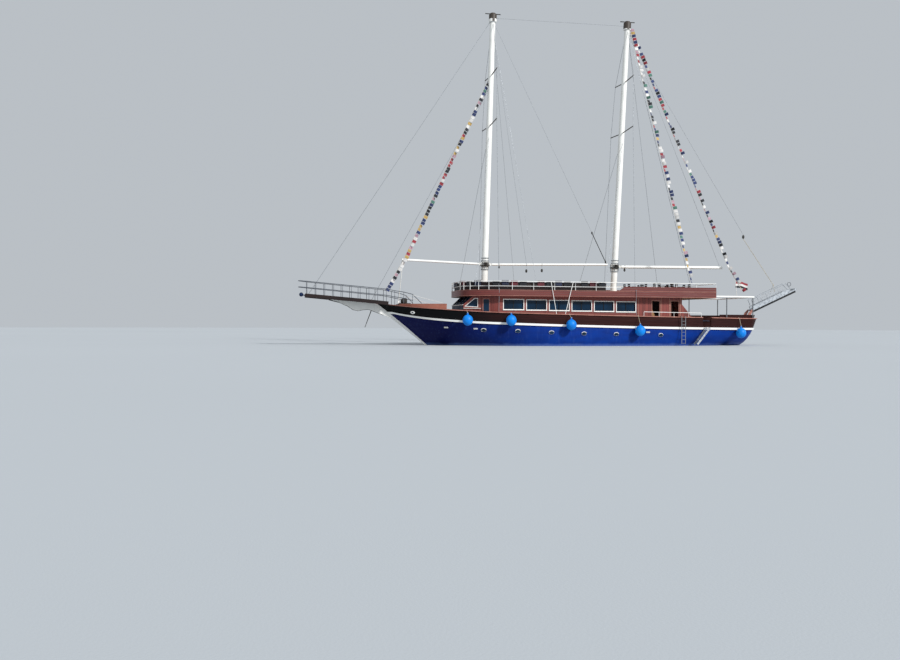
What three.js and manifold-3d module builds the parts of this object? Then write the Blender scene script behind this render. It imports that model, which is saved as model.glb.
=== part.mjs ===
// Two-masted wooden tour boat in the style of a pirate ship.
// Millimetres, +X to the bow, +Y to port, +Z up, origin amidships on the waterline.
import * as THREE from 'three';
import { mergeVertices } from 'three/addons/utils/BufferGeometryUtils.js';
import Module from 'manifold-3d';

const wasm = await Module();
wasm.setup();

// Gap between pieces that touch.
const GAP = 0.3;
const DEGREE = Math.PI / 180;

// Hull lines. Columns: x of the station at the sheer, half beam there, sheer height,
// height of the cap rail's underside, depth of the bottom, and the two powers of the section's curve.
const STATION_COLUMNS = ['x', 'beam', 'sheer', 'cap', 'bottom', 'bilge', 'flat'];
const STATION_ROWS = [
  [-11300, 3000, 1340, 2020, -420, 2.3, 1.5],
  [-9000, 3230, 1360, 2060, -900, 2.6, 1.6],
  [-5000, 3470, 1400, 2110, -1350, 3.2, 1.8],
  [0, 3550, 1490, 2190, -1450, 3.8, 2.0],
  [4000, 3480, 1580, 2270, -1450, 3.4, 1.9],
  [7000, 3240, 1675, 2350, -1450, 2.6, 1.6],
  [9000, 2860, 1750, 2450, -1440, 2.0, 1.4],
  [11000, 2260, 1880, 2590, -1430, 1.7, 1.25],
  [12500, 1640, 2020, 2710, -1420, 1.5, 1.15],
  [13800, 900, 2210, 2850, -1410, 1.4, 1.05],
  [14600, 380, 2370, 2960, -1400, 1.3, 1.0],
  [15000, 60, 2480, 3020, -1400, 1.3, 1.0],
];
const STERN_END = -13300;
const STERN_START = -11300;
const STERN_POWER = 2 / 2.6;
const STERN_STEPS = 7;
const STERN_BOTTOM = -300;
const BOW_START = 5000;
const STERN_BLEND = -8000;
const HALF_KEEL_FLAT = 60;
// Half width left between the two sides of a band where they meet at the stem.
const BAND_SLIT = 8;
// Sections forward of the rounded stern.
const STATION_XS = [-10000, -8500, -7000, -5500, -4000, -2500, -1000, 500, 2000, 3500, 5000, 6500,
  8000, 9000, 10000, 11000, 12000, 12750, 13400, 13950, 14400, 14750, 15000];
// Height and x of the stem's and the stern's profile.
const STEM_PROFILE = [[-1450, 8300], [-1100, 9800], [-600, 11100], [0, 12100], [440, 12550],
  [1840, 14150], [3400, 16190]];
const STERN_PROFILE = [[-1450, -11300], [-400, -12350], [200, -12780], [1340, -13300],
  [2050, -13580], [2600, -13700]];
// Heights on a section below the rub rail, as fractions from the bottom to the sheer.
const SECTION_LEVELS = [0, 0.07, 0.18, 0.34, 0.52, 0.72];

const BULWARK_THICK = 120;
const RUB_OUT = 85;
const RUB_TALL = 150;
const CAP_OUT = 70;
const CAP_IN = 190;
const CAP_TALL = 60;
const DECK_THICK = 50;
const GATE = { aft: -8850, fore: -8150, sill: 90 };
const FOREDECK = { aft: 11100, fore: 14250, top: 2990, inset: 20 };

const KEEL = { half: 120, bottom: -1950, shoeTop: -1860, heelX: -12350, deadwoodX: -10450 };
const SHAFT_Z = -1150;
const PROPELLER = { x: -10760, radius: 480, hub: 100, blades: 4 };
const RUDDER = { x: -11450, fore: 90, aft: 700, top: -620, stock: 50, trunk: 55, stockTop: -260 };

const ROOF = { low: 3580, top: 3760, aft: -9250, half: 3250, fasciaLow: 3540, fasciaTop: 3980 };
const FASCIA_THICK = 60;
const PARAPET_TOP = 4320;
const RAIL_TOP = 4610;
const RAIL_MID = 4270;
const WALL = 80;
const SALOON = { aft: -7600, bulkhead: -6780, entry: -3250, fore: 7300, half: 2650 };
const WINDOW = { first: 7040, wide: 1580, pitch: 1717, count: 6, low: 2510, tall: 800, slope: 0.012 };
const WINDOW_FRAME = 60;
const DOORWAYS = [[-4980, -4390], [-6500, -5900]];
const DOORWAY = { sill: 120, top: 3300 };
const WHEELHOUSE = { fore: 9800, half: 2000, kink: 2960, rakeTop: 9130 };
const SLIDING_DOOR = { low: 1830, top: 3470, from: 620, to: 1220, lap: 20, thick: 40, off: 6 };
const BENCH_BACK = { top: 4560, thick: 60 };
const HATCH = { aft: -4950, fore: -3800, inner: 1500, outer: 2350 };

const FORE_MAST = { x: 7780, z: 4300, slope: 0.029, foot: 1500, top: 24650, sign: 1 };
const MAIN_MAST = { x: -2420, z: 4500, slope: 0.0505, foot: 1300, top: 24800, sign: -1 };
const MAST_SIDES = 12;
const GOOSENECK = { z: 6000, out: 390, pin: 25, lugLow: 95, lugHigh: 65, lugHalf: 70 };
// Columns: mast, height, half length.
const SPREADERS = [
  [FORE_MAST, 16250, 2200],
  [FORE_MAST, 20000, 1800],
  [MAIN_MAST, 16200, 2200],
  [MAIN_MAST, 20100, 1800],
];
const WIRE = 15;
// Rail posts aft of the bow platform. Columns: x, height of the top.
const AFT_POSTS = [[13400, 3660], [14000, 3830], [14600, 3930]];
// Where the top rail comes down to the foredeck.
const RAIL_FOOT = 12800;
const SHROUD_Y = 3100;

const AWNING = { z: 3680, radius: 65, post: 38 };
const GANGWAY = { x: -13900, z: 2730, slope: 23.8, long: 4150, half: 240, rail: 780, pin: 20 };
const LADDER = { x: -8300, z: 1300, slope: 51, long: 1520, inner: 3520, outer: 4060, pin: 18 };
const SWIM_LADDER = { aft: -6590, fore: -6290, y: 3550, low: 140 };
// Columns: x, height of the ball's centre.
const FENDERS = [[9600, 1800], [6650, 1800], [2350, 1500], [-2890, 1090], [-11200, 930]];
const FENDER_R = 370;
const FENDER_OFF = 36;

const paint = (color, roughness = 0.5, metalness = 0) =>
  new THREE.MeshStandardMaterial({ color, roughness, metalness });
const FINISH = {
  navy: paint('#16389c', 0.35),
  red: paint('#5d1f22', 0.8),
  white: paint('#f1f0ea', 0.4),
  black: paint('#231512', 0.5),
  cap: paint('#6b3a22', 0.45),
  terracotta: paint('#a8543c', 0.6),
  teak: paint('#a5794c', 0.7),
  mahogany: paint('#6f2a1e', 0.45),
  glass: paint('#17343a', 0.1),
  steel: paint('#c9ccd0', 0.3, 0.9),
  bronze: paint('#9a6a33', 0.35, 0.9),
  azure: paint('#2b8fe0', 0.4),
  cushion: paint('#7c1f22', 0.8),
  rope: paint('#4a4a48', 0.8),
};

const root = new THREE.Group();

// Shapes and joins.

function closed(points, faces) {
  let volume = 0;
  for (const [a, b, c] of faces) volume += points[a].dot(points[b].clone().cross(points[c]));
  const turned = volume < 0 ? faces.map(([a, b, c]) => [a, c, b]) : faces;
  return new wasm.Manifold(new wasm.Mesh({
    numProp: 3,
    vertProperties: new Float32Array(points.flatMap((p) => [p.x, p.y, p.z])),
    triVerts: new Uint32Array(turned.flat()),
  }));
}

function solid(geometry, matrix = null) {
  if (matrix) geometry.applyMatrix4(matrix);
  geometry.deleteAttribute('normal');
  geometry.deleteAttribute('uv');
  const merged = mergeVertices(geometry, 1e-3);
  const at = merged.getAttribute('position');
  const index = merged.index.array;
  const points = [];
  for (let i = 0; i < at.count; i++) points.push(new THREE.Vector3().fromBufferAttribute(at, i));
  const faces = [];
  for (let i = 0; i < index.length; i += 3) {
    const [a, b, c] = index.slice(i, i + 3);
    if (a !== b && b !== c && a !== c) faces.push([a, b, c]);
  }
  return closed(points, faces);
}

// Skin over a row of rings with the same number of points, closed at both ends or into a hoop.
// Points at the same place become one.
function loft(rings, hoop = false) {
  const n = rings[0].length;
  const points = [];
  const known = new Map();
  const index = rings.flat().map((p) => {
    const key = p.toArray().map((value) => value.toFixed(2)).join();
    if (!known.has(key)) known.set(key, points.push(p) - 1);
    return known.get(key);
  });
  const faces = [];
  const quad = (...corners) => {
    const [a, b, c, d] = corners.map((corner) => index[corner]);
    for (const face of [[a, b, c], [a, c, d]]) if (new Set(face).size === 3) faces.push(face);
  };
  const count = rings.length;
  for (let i = 0; i < (hoop ? count : count - 1); i++) {
    const [here, there] = [i * n, ((i + 1) % count) * n];
    for (let k = 0; k < n; k++) {
      const next = (k + 1) % n;
      quad(here + k, here + next, there + next, there + k);
    }
  }
  const last = (count - 1) * n;
  for (let k = 0; !hoop && k + 1 < n - 1 - k; k++) {
    quad(k, n - 1 - k, n - 2 - k, k + 1);
    quad(last + k, last + k + 1, last + n - 2 - k, last + n - 1 - k);
  }
  return closed(points, faces);
}

const at = (x, y, z) => new THREE.Vector3(x, y, z);
const join = (bodies) => bodies.reduce((whole, body) => whole.add(body));
const cut = (body, cutters) => cutters.reduce((left, cutter) => left.subtract(cutter), body);

function box(x0, x1, y0, y1, z0, z1) {
  const geometry = new THREE.BoxGeometry(x1 - x0, y1 - y0, z1 - z0);
  return solid(geometry, new THREE.Matrix4().makeTranslation((x0 + x1) / 2, (y0 + y1) / 2, (z0 + z1) / 2));
}

// Tube or bar along a chain of points, mitred at its bends.
function rod(points, radius, sides = 8) {
  const way = (i) => points[i + 1].clone().sub(points[i]).normalize();
  const first = way(0);
  const side = Math.abs(first.z) > 0.9 ? at(1, 0, 0) : at(0, 0, 1);
  const u = side.clone().cross(first).normalize();
  const v = first.clone().cross(u);
  let spokes = Array.from({ length: sides }, (_, k) => {
    const angle = ((k + 0.5) / sides) * 2 * Math.PI;
    return u.clone().multiplyScalar(Math.cos(angle) * radius).addScaledVector(v, Math.sin(angle) * radius);
  });
  const rings = [spokes.map((spoke) => points[0].clone().add(spoke))];
  for (let i = 1; i < points.length; i++) {
    const into = way(i - 1);
    const out = i + 1 < points.length ? way(i) : into;
    const normal = into.clone().add(out).normalize();
    spokes = spokes.map((spoke) => spoke.clone().addScaledVector(into, -spoke.dot(normal) / into.dot(normal)));
    rings.push(spokes.map((spoke) => points[i].clone().add(spoke)));
    spokes = spokes.map((spoke) => spoke.clone().addScaledVector(out, -spoke.dot(out)));
  }
  return loft(rings);
}

// Radius of a bore in which a pin with flat sides turns.
const boreFor = (pin, sides) => pin / Math.cos(Math.PI / sides) + 0.05;

// Plate with an outline in x and z, between two y values.
function plate(outline, y0, y1, holes = []) {
  const shape = new THREE.Shape(outline.map(([x, z]) => new THREE.Vector2(x, z)));
  for (const hole of holes) shape.holes.push(new THREE.Path(hole.map(([x, z]) => new THREE.Vector2(x, z))));
  const geometry = new THREE.ExtrudeGeometry(shape, { depth: y1 - y0, bevelEnabled: false });
  const stand = new THREE.Matrix4().makeRotationX(Math.PI / 2);
  stand.premultiply(new THREE.Matrix4().makeTranslation(0, y1, 0));
  return solid(geometry, stand);
}

// Slab with an outline in x and y, between two heights.
function slab(outline, z0, z1) {
  const shape = new THREE.Shape(outline.map(([x, y]) => new THREE.Vector2(x, y)));
  const geometry = new THREE.ExtrudeGeometry(shape, { depth: z1 - z0, bevelEnabled: false });
  return solid(geometry, new THREE.Matrix4().makeTranslation(0, 0, z0));
}

// Turned piece: a profile of radius and height about the Z axis, moved by a matrix.
function turned(profile, sides, matrix = null) {
  const points = profile.map(([r, h]) => new THREE.Vector2(r, h));
  const geometry = new THREE.LatheGeometry(points, sides, Math.PI / sides);
  geometry.rotateX(Math.PI / 2);
  return solid(geometry, matrix);
}

const mirrored = (body) => {
  const mesh = body.getMesh();
  const points = [];
  for (let i = 0; i < mesh.vertProperties.length; i += 3) {
    points.push(at(mesh.vertProperties[i], -mesh.vertProperties[i + 1], mesh.vertProperties[i + 2]));
  }
  const faces = [];
  for (let i = 0; i < mesh.triVerts.length; i += 3) faces.push([...mesh.triVerts.slice(i, i + 3)]);
  return closed(points, faces);
};

function node(name, body, material) {
  const mesh = body.getMesh();
  const geometry = new THREE.BufferGeometry();
  geometry.setAttribute('position', new THREE.BufferAttribute(new Float32Array(mesh.vertProperties), 3));
  geometry.setIndex(new THREE.BufferAttribute(new Uint32Array(mesh.triVerts), 1));
  geometry.computeVertexNormals();
  const piece = new THREE.Mesh(geometry, material);
  piece.name = name;
  root.add(piece);
  return body;
}

// A piece and its copy on the other side.
function pair(name, body, material) {
  node(`${name}_port`, body, material);
  node(`${name}_starboard`, mirrored(body), material);
}

// Hull lines.

const lerp = (a, b, t) => a + (b - a) * t;

function along(table, value) {
  const found = table.findIndex(([x]) => x >= value);
  const high = found < 0 ? table.length - 1 : Math.max(1, found);
  const [x0, y0] = table[high - 1];
  const [x1, y1] = table[high];
  return lerp(y0, y1, (value - x0) / (x1 - x0));
}

// Smooth curve through a column of the table.
function fair(column, x) {
  const c = STATION_COLUMNS.indexOf(column);
  const rows = STATION_ROWS;
  const last = rows.length - 1;
  const found = rows.findIndex((row) => row[0] >= x);
  const k = Math.max(1, found < 0 ? last : found);
  const grade = (i) => {
    const a = Math.max(0, i - 1);
    const b = Math.min(last, i + 1);
    return (rows[b][c] - rows[a][c]) / (rows[b][0] - rows[a][0]);
  };
  const span = rows[k][0] - rows[k - 1][0];
  const t = (x - rows[k - 1][0]) / span;
  const [t2, t3] = [t * t, t * t * t];
  return (2 * t3 - 3 * t2 + 1) * rows[k - 1][c] + (t3 - 2 * t2 + t) * span * grade(k - 1)
    + (3 * t2 - 2 * t3) * rows[k][c] + (t3 - t2) * span * grade(k);
}

function sternStation(step) {
  const angle = (step / STERN_STEPS) * Math.PI / 2;
  const x = STERN_START + (STERN_END - STERN_START) * Math.cos(angle) ** STERN_POWER;
  const foot = STATION_ROWS[0];
  const bottom = lerp(STERN_BOTTOM, foot[4], (x - STERN_END) / (STERN_START - STERN_END));
  const beam = Math.max(HALF_KEEL_FLAT, foot[1] * Math.sin(angle) ** STERN_POWER);
  return { x, beam, sheer: foot[2], cap: foot[3], bottom, bilge: foot[5], flat: foot[6] };
}

const stations = [
  ...Array.from({ length: STERN_STEPS + 1 }, (_, step) => sternStation(step)),
  ...STATION_XS.map((x) => {
    const station = { x };
    for (const column of STATION_COLUMNS.slice(1)) station[column] = fair(column, x);
    return station;
  }),
];

// The stem's head is level.
for (const level of ['sheer', 'cap']) stations.at(-1)[level] = stations.at(-2)[level];

// Point of a station on the hull's side, port, before any offset. Straight from the sheer upwards.
function sidePoint(station, z) {
  if (z > station.sheer) {
    const [low, high] = [station.sheer, station.cap].map((level) => stemPoint(station, level));
    return { x: lerp(low.x, high.x, (z - station.sheer) / (station.cap - station.sheer)), y: low.y };
  }
  return stemPoint(station, z);
}

function stemPoint(station, z) {
  let x = station.x;
  const stretch = (profile, start) => {
    const reach = (along(profile, z) - start) / (along(profile, station.sheer) - start);
    return start + (x - start) * reach;
  };
  if (x > BOW_START) x = stretch(STEM_PROFILE, BOW_START);
  if (x < STERN_BLEND) x = stretch(STERN_PROFILE, STERN_BLEND);
  const q = THREE.MathUtils.clamp((z - station.bottom) / (station.sheer - station.bottom), 0, 1);
  const share = (1 - (1 - q) ** station.bilge) ** (1 / station.flat);
  return { x, y: Math.max(HALF_KEEL_FLAT, station.beam * share) };
}

// Way outboard at each station's sheer. It has no part along the boat outside the rounded stern, so
// that levels of different pieces stay the same along it.
const outboard = stations.map((station, i) => {
  if (i === 0) return { x: -1, y: 0 };
  const [a, b] = [stations[i - 1], stations[Math.min(i + 1, stations.length - 1)]];
  const size = Math.hypot(b.x - a.x, b.beam - a.beam);
  if (i < STERN_STEPS) return { x: (a.beam - b.beam) / size, y: (b.x - a.x) / size };
  return { x: i === stations.length - 1 ? 1 : 0, y: size / (b.x - a.x) };
});

// Point of the side moved outboard. Height may depend on the station.
function offsetPoint(i, height, out) {
  const { x, y } = sidePoint(stations[i], height(stations[i]));
  return { x: x + outboard[i].x * out, y: y + outboard[i].y * out };
}

const sheer = (more = 0) => (station) => station.sheer + more;
const cap = (more = 0) => (station) => station.cap + more;

// Solid with the boat's outline in plan, moved outboard, between two heights.
function tub(out, low, high) {
  const rings = [];
  for (let i = 0; i < stations.length; i++) {
    const a = offsetPoint(i, low, out);
    const b = offsetPoint(i, high, out);
    const [za, zb] = [low(stations[i]), high(stations[i])];
    if (Math.min(a.y, b.y) < HALF_KEEL_FLAT / 2) continue;
    rings.push([at(a.x, a.y, za), at(b.x, b.y, zb), at(b.x, -b.y, zb), at(a.x, -a.y, za)]);
  }
  return loft(rings);
}

// Band round the boat. Each corner of its section, from the inner bottom one over the top to the
// outer bottom one, has an offset outboard and a height.
function band(corners) {
  const port = stations.map((_, i) => corners.map(([out, height]) => {
    const p = offsetPoint(i, height, out);
    return at(p.x, Math.max(p.y, BAND_SLIT), height(stations[i]));
  }));
  const starboard = port.map((ring) => ring.map((p) => at(p.x, -p.y, p.z))).reverse();
  return loft([...port, ...starboard], true);
}

function hullBody(grow) {
  const rings = stations.map((station, i) => {
    const levels = SECTION_LEVELS.map((level) => lerp(station.bottom, station.sheer, level));
    const heights = [...levels, station.sheer - RUB_TALL, station.sheer];
    const half = heights.map((z, k) => {
      const p = offsetPoint(i, k < levels.length ? () => z : sheer(z - station.sheer), grow);
      const more = k === 0 ? -grow : k === heights.length - 1 ? grow : 0;
      return at(p.x, p.y, z + more);
    });
    return [...half, ...half.map((p) => at(p.x, -p.y, p.z)).reverse()];
  });
  return loft(rings);
}


// Everything below a line of heights that follows the stations.
function below(height, out) {
  const rings = [];
  for (let i = 0; i < stations.length; i++) {
    const z = height(stations[i]);
    const { x } = offsetPoint(i, height, out);
    rings.push([at(x, -6000, -3000), at(x, 6000, -3000), at(x, 6000, z), at(x, -6000, z)]);
  }
  return loft(rings);
}

// Height of a line of the hull at a place along it.
function heightAt(height, x) {
  return along(stations.map((station) => [sidePoint(station, height(station)).x, height(station)]), x);
}

const deckEdge = -BULWARK_THICK - 4;
const underDeck = below(sheer(DECK_THICK + GAP), deckEdge);
const hullGrown = hullBody(GAP);

function hullAndKeel() {
  const trunk = rod([at(RUDDER.x, 0, -1000), at(RUDDER.x, 0, RUDDER.stockTop + 60)], RUDDER.trunk, 12);
  node('hull', hullBody(0).subtract(trunk), FINISH.navy);
  const outline = [[9900, -300], [9900, -1150], [8900, -1600], [6500, -1850], [5000, KEEL.bottom],
    [KEEL.heelX, KEEL.bottom], [KEEL.heelX, KEEL.shoeTop], [-10750, KEEL.shoeTop],
    [KEEL.deadwoodX, -1700], [KEEL.deadwoodX, -300]];
  const boss = rod([at(-10300, 0, SHAFT_Z), at(-10600, 0, SHAFT_Z)], 105, 12);
  const bore = rod([at(-10200, 0, SHAFT_Z), at(-10700, 0, SHAFT_Z)], 47, 12);
  node('keel', cut(plate(outline, -KEEL.half, KEEL.half).add(boss), [bore, hullGrown]), FINISH.red);
}

function sternGear() {
  const hub = rod([at(-10600.5, 0, SHAFT_Z), at(-10880, 0, SHAFT_Z), at(-10960, 0, SHAFT_Z)],
    PROPELLER.hub, 12);
  const shaft = rod([at(-10220, 0, SHAFT_Z), at(-10700, 0, SHAFT_Z)], 42, 12);
  const blades = [];
  for (let k = 0; k < PROPELLER.blades; k++) {
    const geometry = new THREE.CylinderGeometry(190, 190, 26, 12);
    geometry.scale(1, 1, (PROPELLER.radius - 60) / 380);
    geometry.rotateZ(Math.PI / 2);
    geometry.rotateX(Math.PI / 2);
    geometry.translate(0, 0, (PROPELLER.radius + 60) / 2);
    const turn = new THREE.Matrix4().makeRotationX((k / PROPELLER.blades + 0.125) * 2 * Math.PI);
    turn.multiply(new THREE.Matrix4().makeRotationZ(35 * DEGREE));
    turn.premultiply(new THREE.Matrix4().makeTranslation(PROPELLER.x, 0, SHAFT_Z));
    blades.push(solid(geometry, turn));
  }
  node('propeller', join([hub, shaft, ...blades]), FINISH.bronze);

  const { x, fore, aft, top } = RUDDER;
  const outline = [[x + fore, KEEL.shoeTop + 20], [x + fore, top + 80], [x + 40, top], [x - 380, top],
    [x - aft, -1100], [x - aft, -1700], [x - aft + 120, KEEL.shoeTop + 20]];
  const stock = rod([at(x, 0, KEEL.shoeTop + 0.5), at(x, 0, RUDDER.stockTop)], RUDDER.stock, 12);
  node('rudder', plate(outline, -35, 35).add(stock), FINISH.red);
}

function sides() {
  const sill = heightAt(sheer(GATE.sill), -8500);
  const gates = box(GATE.aft, GATE.fore, -5000, 5000, sill, 5000);
  const rub = band([[GAP, sheer(-RUB_TALL)], [GAP, sheer()], [RUB_OUT, sheer()], [RUB_OUT, sheer(-RUB_TALL)]]);
  node('rub_rail', join([rub, ladderBracket()]), FINISH.white);
  const inner = -BULWARK_THICK;
  const wall = band([[inner, sheer(GAP)], [inner, cap()], [0, cap()], [0, sheer(GAP)]]);
  node('bulwark', wall.subtract(gates), FINISH.black);
  const ring = band([[-CAP_IN, cap(GAP)], [-CAP_IN, cap(CAP_TALL)], [CAP_OUT, cap(CAP_TALL)],
    [CAP_OUT, cap(GAP)]]);
  node('cap_rail_fore', ring.subtract(box(-20000, GATE.fore + 20, -5000, 5000, 0, 5000)), FINISH.cap);
  const aftRing = ring.subtract(box(GATE.aft - 20, 20000, -5000, 5000, 0, 5000));
  node('cap_rail_aft', join([aftRing, gangwayBracket()]), FINISH.cap);
  node('main_deck', tub(deckEdge, sheer(GAP), sheer(DECK_THICK)), FINISH.teak);
  const slice = box(FOREDECK.aft, FOREDECK.fore, -5000, 5000, 0, 5000);
  const raised = tub(-FOREDECK.inset, cap(CAP_TALL + GAP), () => FOREDECK.top);
  node('foredeck', raised.intersect(slice), FINISH.terracotta);
}

// Columns: x, height of the top, half width, thickness.
const PLATFORM = [[15050, 3140, 900, 98], [15950, 3227, 854, 180], [17000, 3330, 800, 200],
  [20900, 3660, 600, 180]];
const platform = (column, x) => along(PLATFORM.map((row) => [row[0], row[column]]), x);
const platformTop = (x) => platform(1, x);
const platformHalf = (x) => platform(2, x);

function platformBody(grow) {
  return loft(PLATFORM.map(([x, z, y, thick]) => {
    const [low, high] = [z - thick - grow, z + grow];
    return [at(x, y, low), at(x, y, high), at(x, -y, high), at(x, -y, low)];
  }));
}

function bow() {
  node('bow_platform', platformBody(0), FINISH.black);

  const under = (x) => platformTop(x) - platform(3, x) - GAP;
  const outline = [...[15200, 15950, 17000, 19300].map((x) => [x, under(x)]), [18450, 3060],
    [17900, 2820], [17500, 2560], [17150, 2490], [16800, 2560], [16400, 2600],
    [15300, 2190], [14700, 1930], [12720, 400], [12180, -60], [11500, -60], [11500, 1500],
    [13500, 2300], [15000, 2900]];
  const knee = plate(outline, -70, 70);
  const cutters = [hullGrown, tub(RUB_OUT + GAP, sheer(-RUB_TALL - GAP), sheer(GAP)),
    tub(GAP + 1, sheer(-1), cap(1)), tub(CAP_OUT + GAP, cap(), cap(CAP_TALL + GAP))];
  node('stem_knee', cut(knee, cutters), FINISH.white);

  const count = 10;
  const posts = [];
  const rails = [[], []];
  // Posts aft of the platform: on the cap rail, then on the foredeck.
  const aftPosts = AFT_POSTS.map(([x, top]) => ({ ...capPoint(x), x, top }));
  for (const { x, y, z, top } of aftPosts) {
    const foot = x < FOREDECK.fore ? FOREDECK.top + GAP : z - 20;
    for (const s of [1, -1]) posts.push(rod([at(x, s * y, foot), at(x, s * y, top)], 22, 4));
  }
  for (let k = 0; k < count; k++) {
    const x = lerp(15200, 20820, k / (count - 1));
    const y = platformHalf(x) - 45;
    const z = platformTop(x);
    for (const s of [1, -1]) posts.push(rod([at(x, s * y, z - 50), at(x, s * y, z + 890)], 22, 4));
  }
  for (const [k, rise] of [890, 450].entries()) {
    const [xa, xb] = [15200, 20820];
    const end = platformTop(xb) + rise;
    const foot = k === 0 ? [at(RAIL_FOOT, capPoint(RAIL_FOOT).y, FOREDECK.top + 32)] : [];
    const aft = aftPosts.map(({ x, y, top }) => at(x, y, top - 890 + rise));
    const half = [...foot, ...aft, at(xa, platformHalf(xa) - 45, platformTop(xa) + rise),
      at(xb, platformHalf(xb) - 45, end), at(21250, 380, end + 40), at(21400, 160, end + 50)];
    rails[k] = [...half, ...half.map((p) => at(p.x, -p.y, p.z)).reverse()];
  }
  const bars = join([...rails.map((rail) => rod(rail, 24, 6)), ...posts]);
  node('bow_rails', cut(bars, [platformBody(GAP), capGrown()]), FINISH.steel);

  const bed = box(13350, 14150, -330, 330, FOREDECK.top + GAP, 3060);
  const drum = rod([at(13800, -430, 3250), at(13800, 430, 3250)], 120, 12);
  const cheeks = [-260, 200].map((y) => box(13600, 14000, y, y + 60, 3050, 3340));
  const heads = [-420, 330].map((y) => rod([at(13800, y, 3250), at(13800, y + 90, 3250)], 180, 12));
  node('windlass', join([bed, drum, ...cheeks, ...heads]), FINISH.steel);
}

// Deckhouse.

const side = { x: SALOON.fore + 20, y: SALOON.half };
side.angle = Math.atan2(side.y - WHEELHOUSE.half, WHEELHOUSE.fore - side.x);
side.long = Math.hypot(side.y - WHEELHOUSE.half, WHEELHOUSE.fore - side.x);
side.matrix = new THREE.Matrix4().makeTranslation(side.x, side.y, 0);
side.matrix.multiply(new THREE.Matrix4().makeRotationZ(-side.angle));

// Moves a piece from the flat frame of the wheelhouse's side, u forward from its aft end, to its place.
function onSide(body) {
  const mesh = body.getMesh();
  const points = [];
  for (let i = 0; i < mesh.vertProperties.length; i += 3) {
    points.push(at(...mesh.vertProperties.slice(i, i + 3)).applyMatrix4(side.matrix));
  }
  const faces = [];
  for (let i = 0; i < mesh.triVerts.length; i += 3) faces.push([...mesh.triVerts.slice(i, i + 3)]);
  return closed(points, faces);
}

const wallTop = ROOF.low - GAP;
const rake = (WHEELHOUSE.fore - WHEELHOUSE.rakeTop) / Math.cos(side.angle);

function saloon() {
  const { half, entry } = SALOON;
  const lit = [[entry, 1000], [SALOON.fore, 1000], [SALOON.fore, wallTop], [entry, wallTop]];
  const open = [[SALOON.aft, 1000], [entry - GAP, 1000], [entry - GAP, wallTop], [SALOON.bulkhead, wallTop],
    [SALOON.bulkhead, 3080], [SALOON.aft, 2120]];
  const panes = [];
  for (let k = 0; k < WINDOW.count; k++) {
    const fore = WINDOW.first - k * WINDOW.pitch - WINDOW_FRAME;
    const aft = fore - WINDOW.wide + 2 * WINDOW_FRAME;
    const low = WINDOW.low + WINDOW_FRAME + WINDOW.slope * (fore - 2000);
    panes.push([aft, fore, low, low + WINDOW.tall - 2 * WINDOW_FRAME]);
  }
  for (const [aft, fore] of DOORWAYS) {
    panes.push([aft, fore, heightAt(sheer(DECK_THICK + DOORWAY.sill), fore), DOORWAY.top]);
  }
  const holes = panes.map(([aft, fore, low, high]) => box(aft, fore, 0, 5000, low, high));
  for (const [name, outline] of [['saloon_side', lit], ['entry_side', open]]) {
    pair(name, cut(plate(outline, half - WALL, half), [...holes, underDeck]), FINISH.mahogany);
  }
  const [glassIn, glassOut] = [half - WALL - GAP - 12, half - WALL - GAP];
  pair('saloon_glass', box(-3230, 7080, glassIn, glassOut, 2440, 3440), FINISH.glass);

  const door = box(-8000, 0, -420, 420, 0, 3350);
  const inner = half - WALL - GAP;
  const bulkhead = box(SALOON.bulkhead, SALOON.bulkhead + WALL, -inner, inner, 1000, wallTop);
  node('aft_bulkhead', cut(bulkhead, [door, underDeck]), FINISH.mahogany);
}

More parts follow.
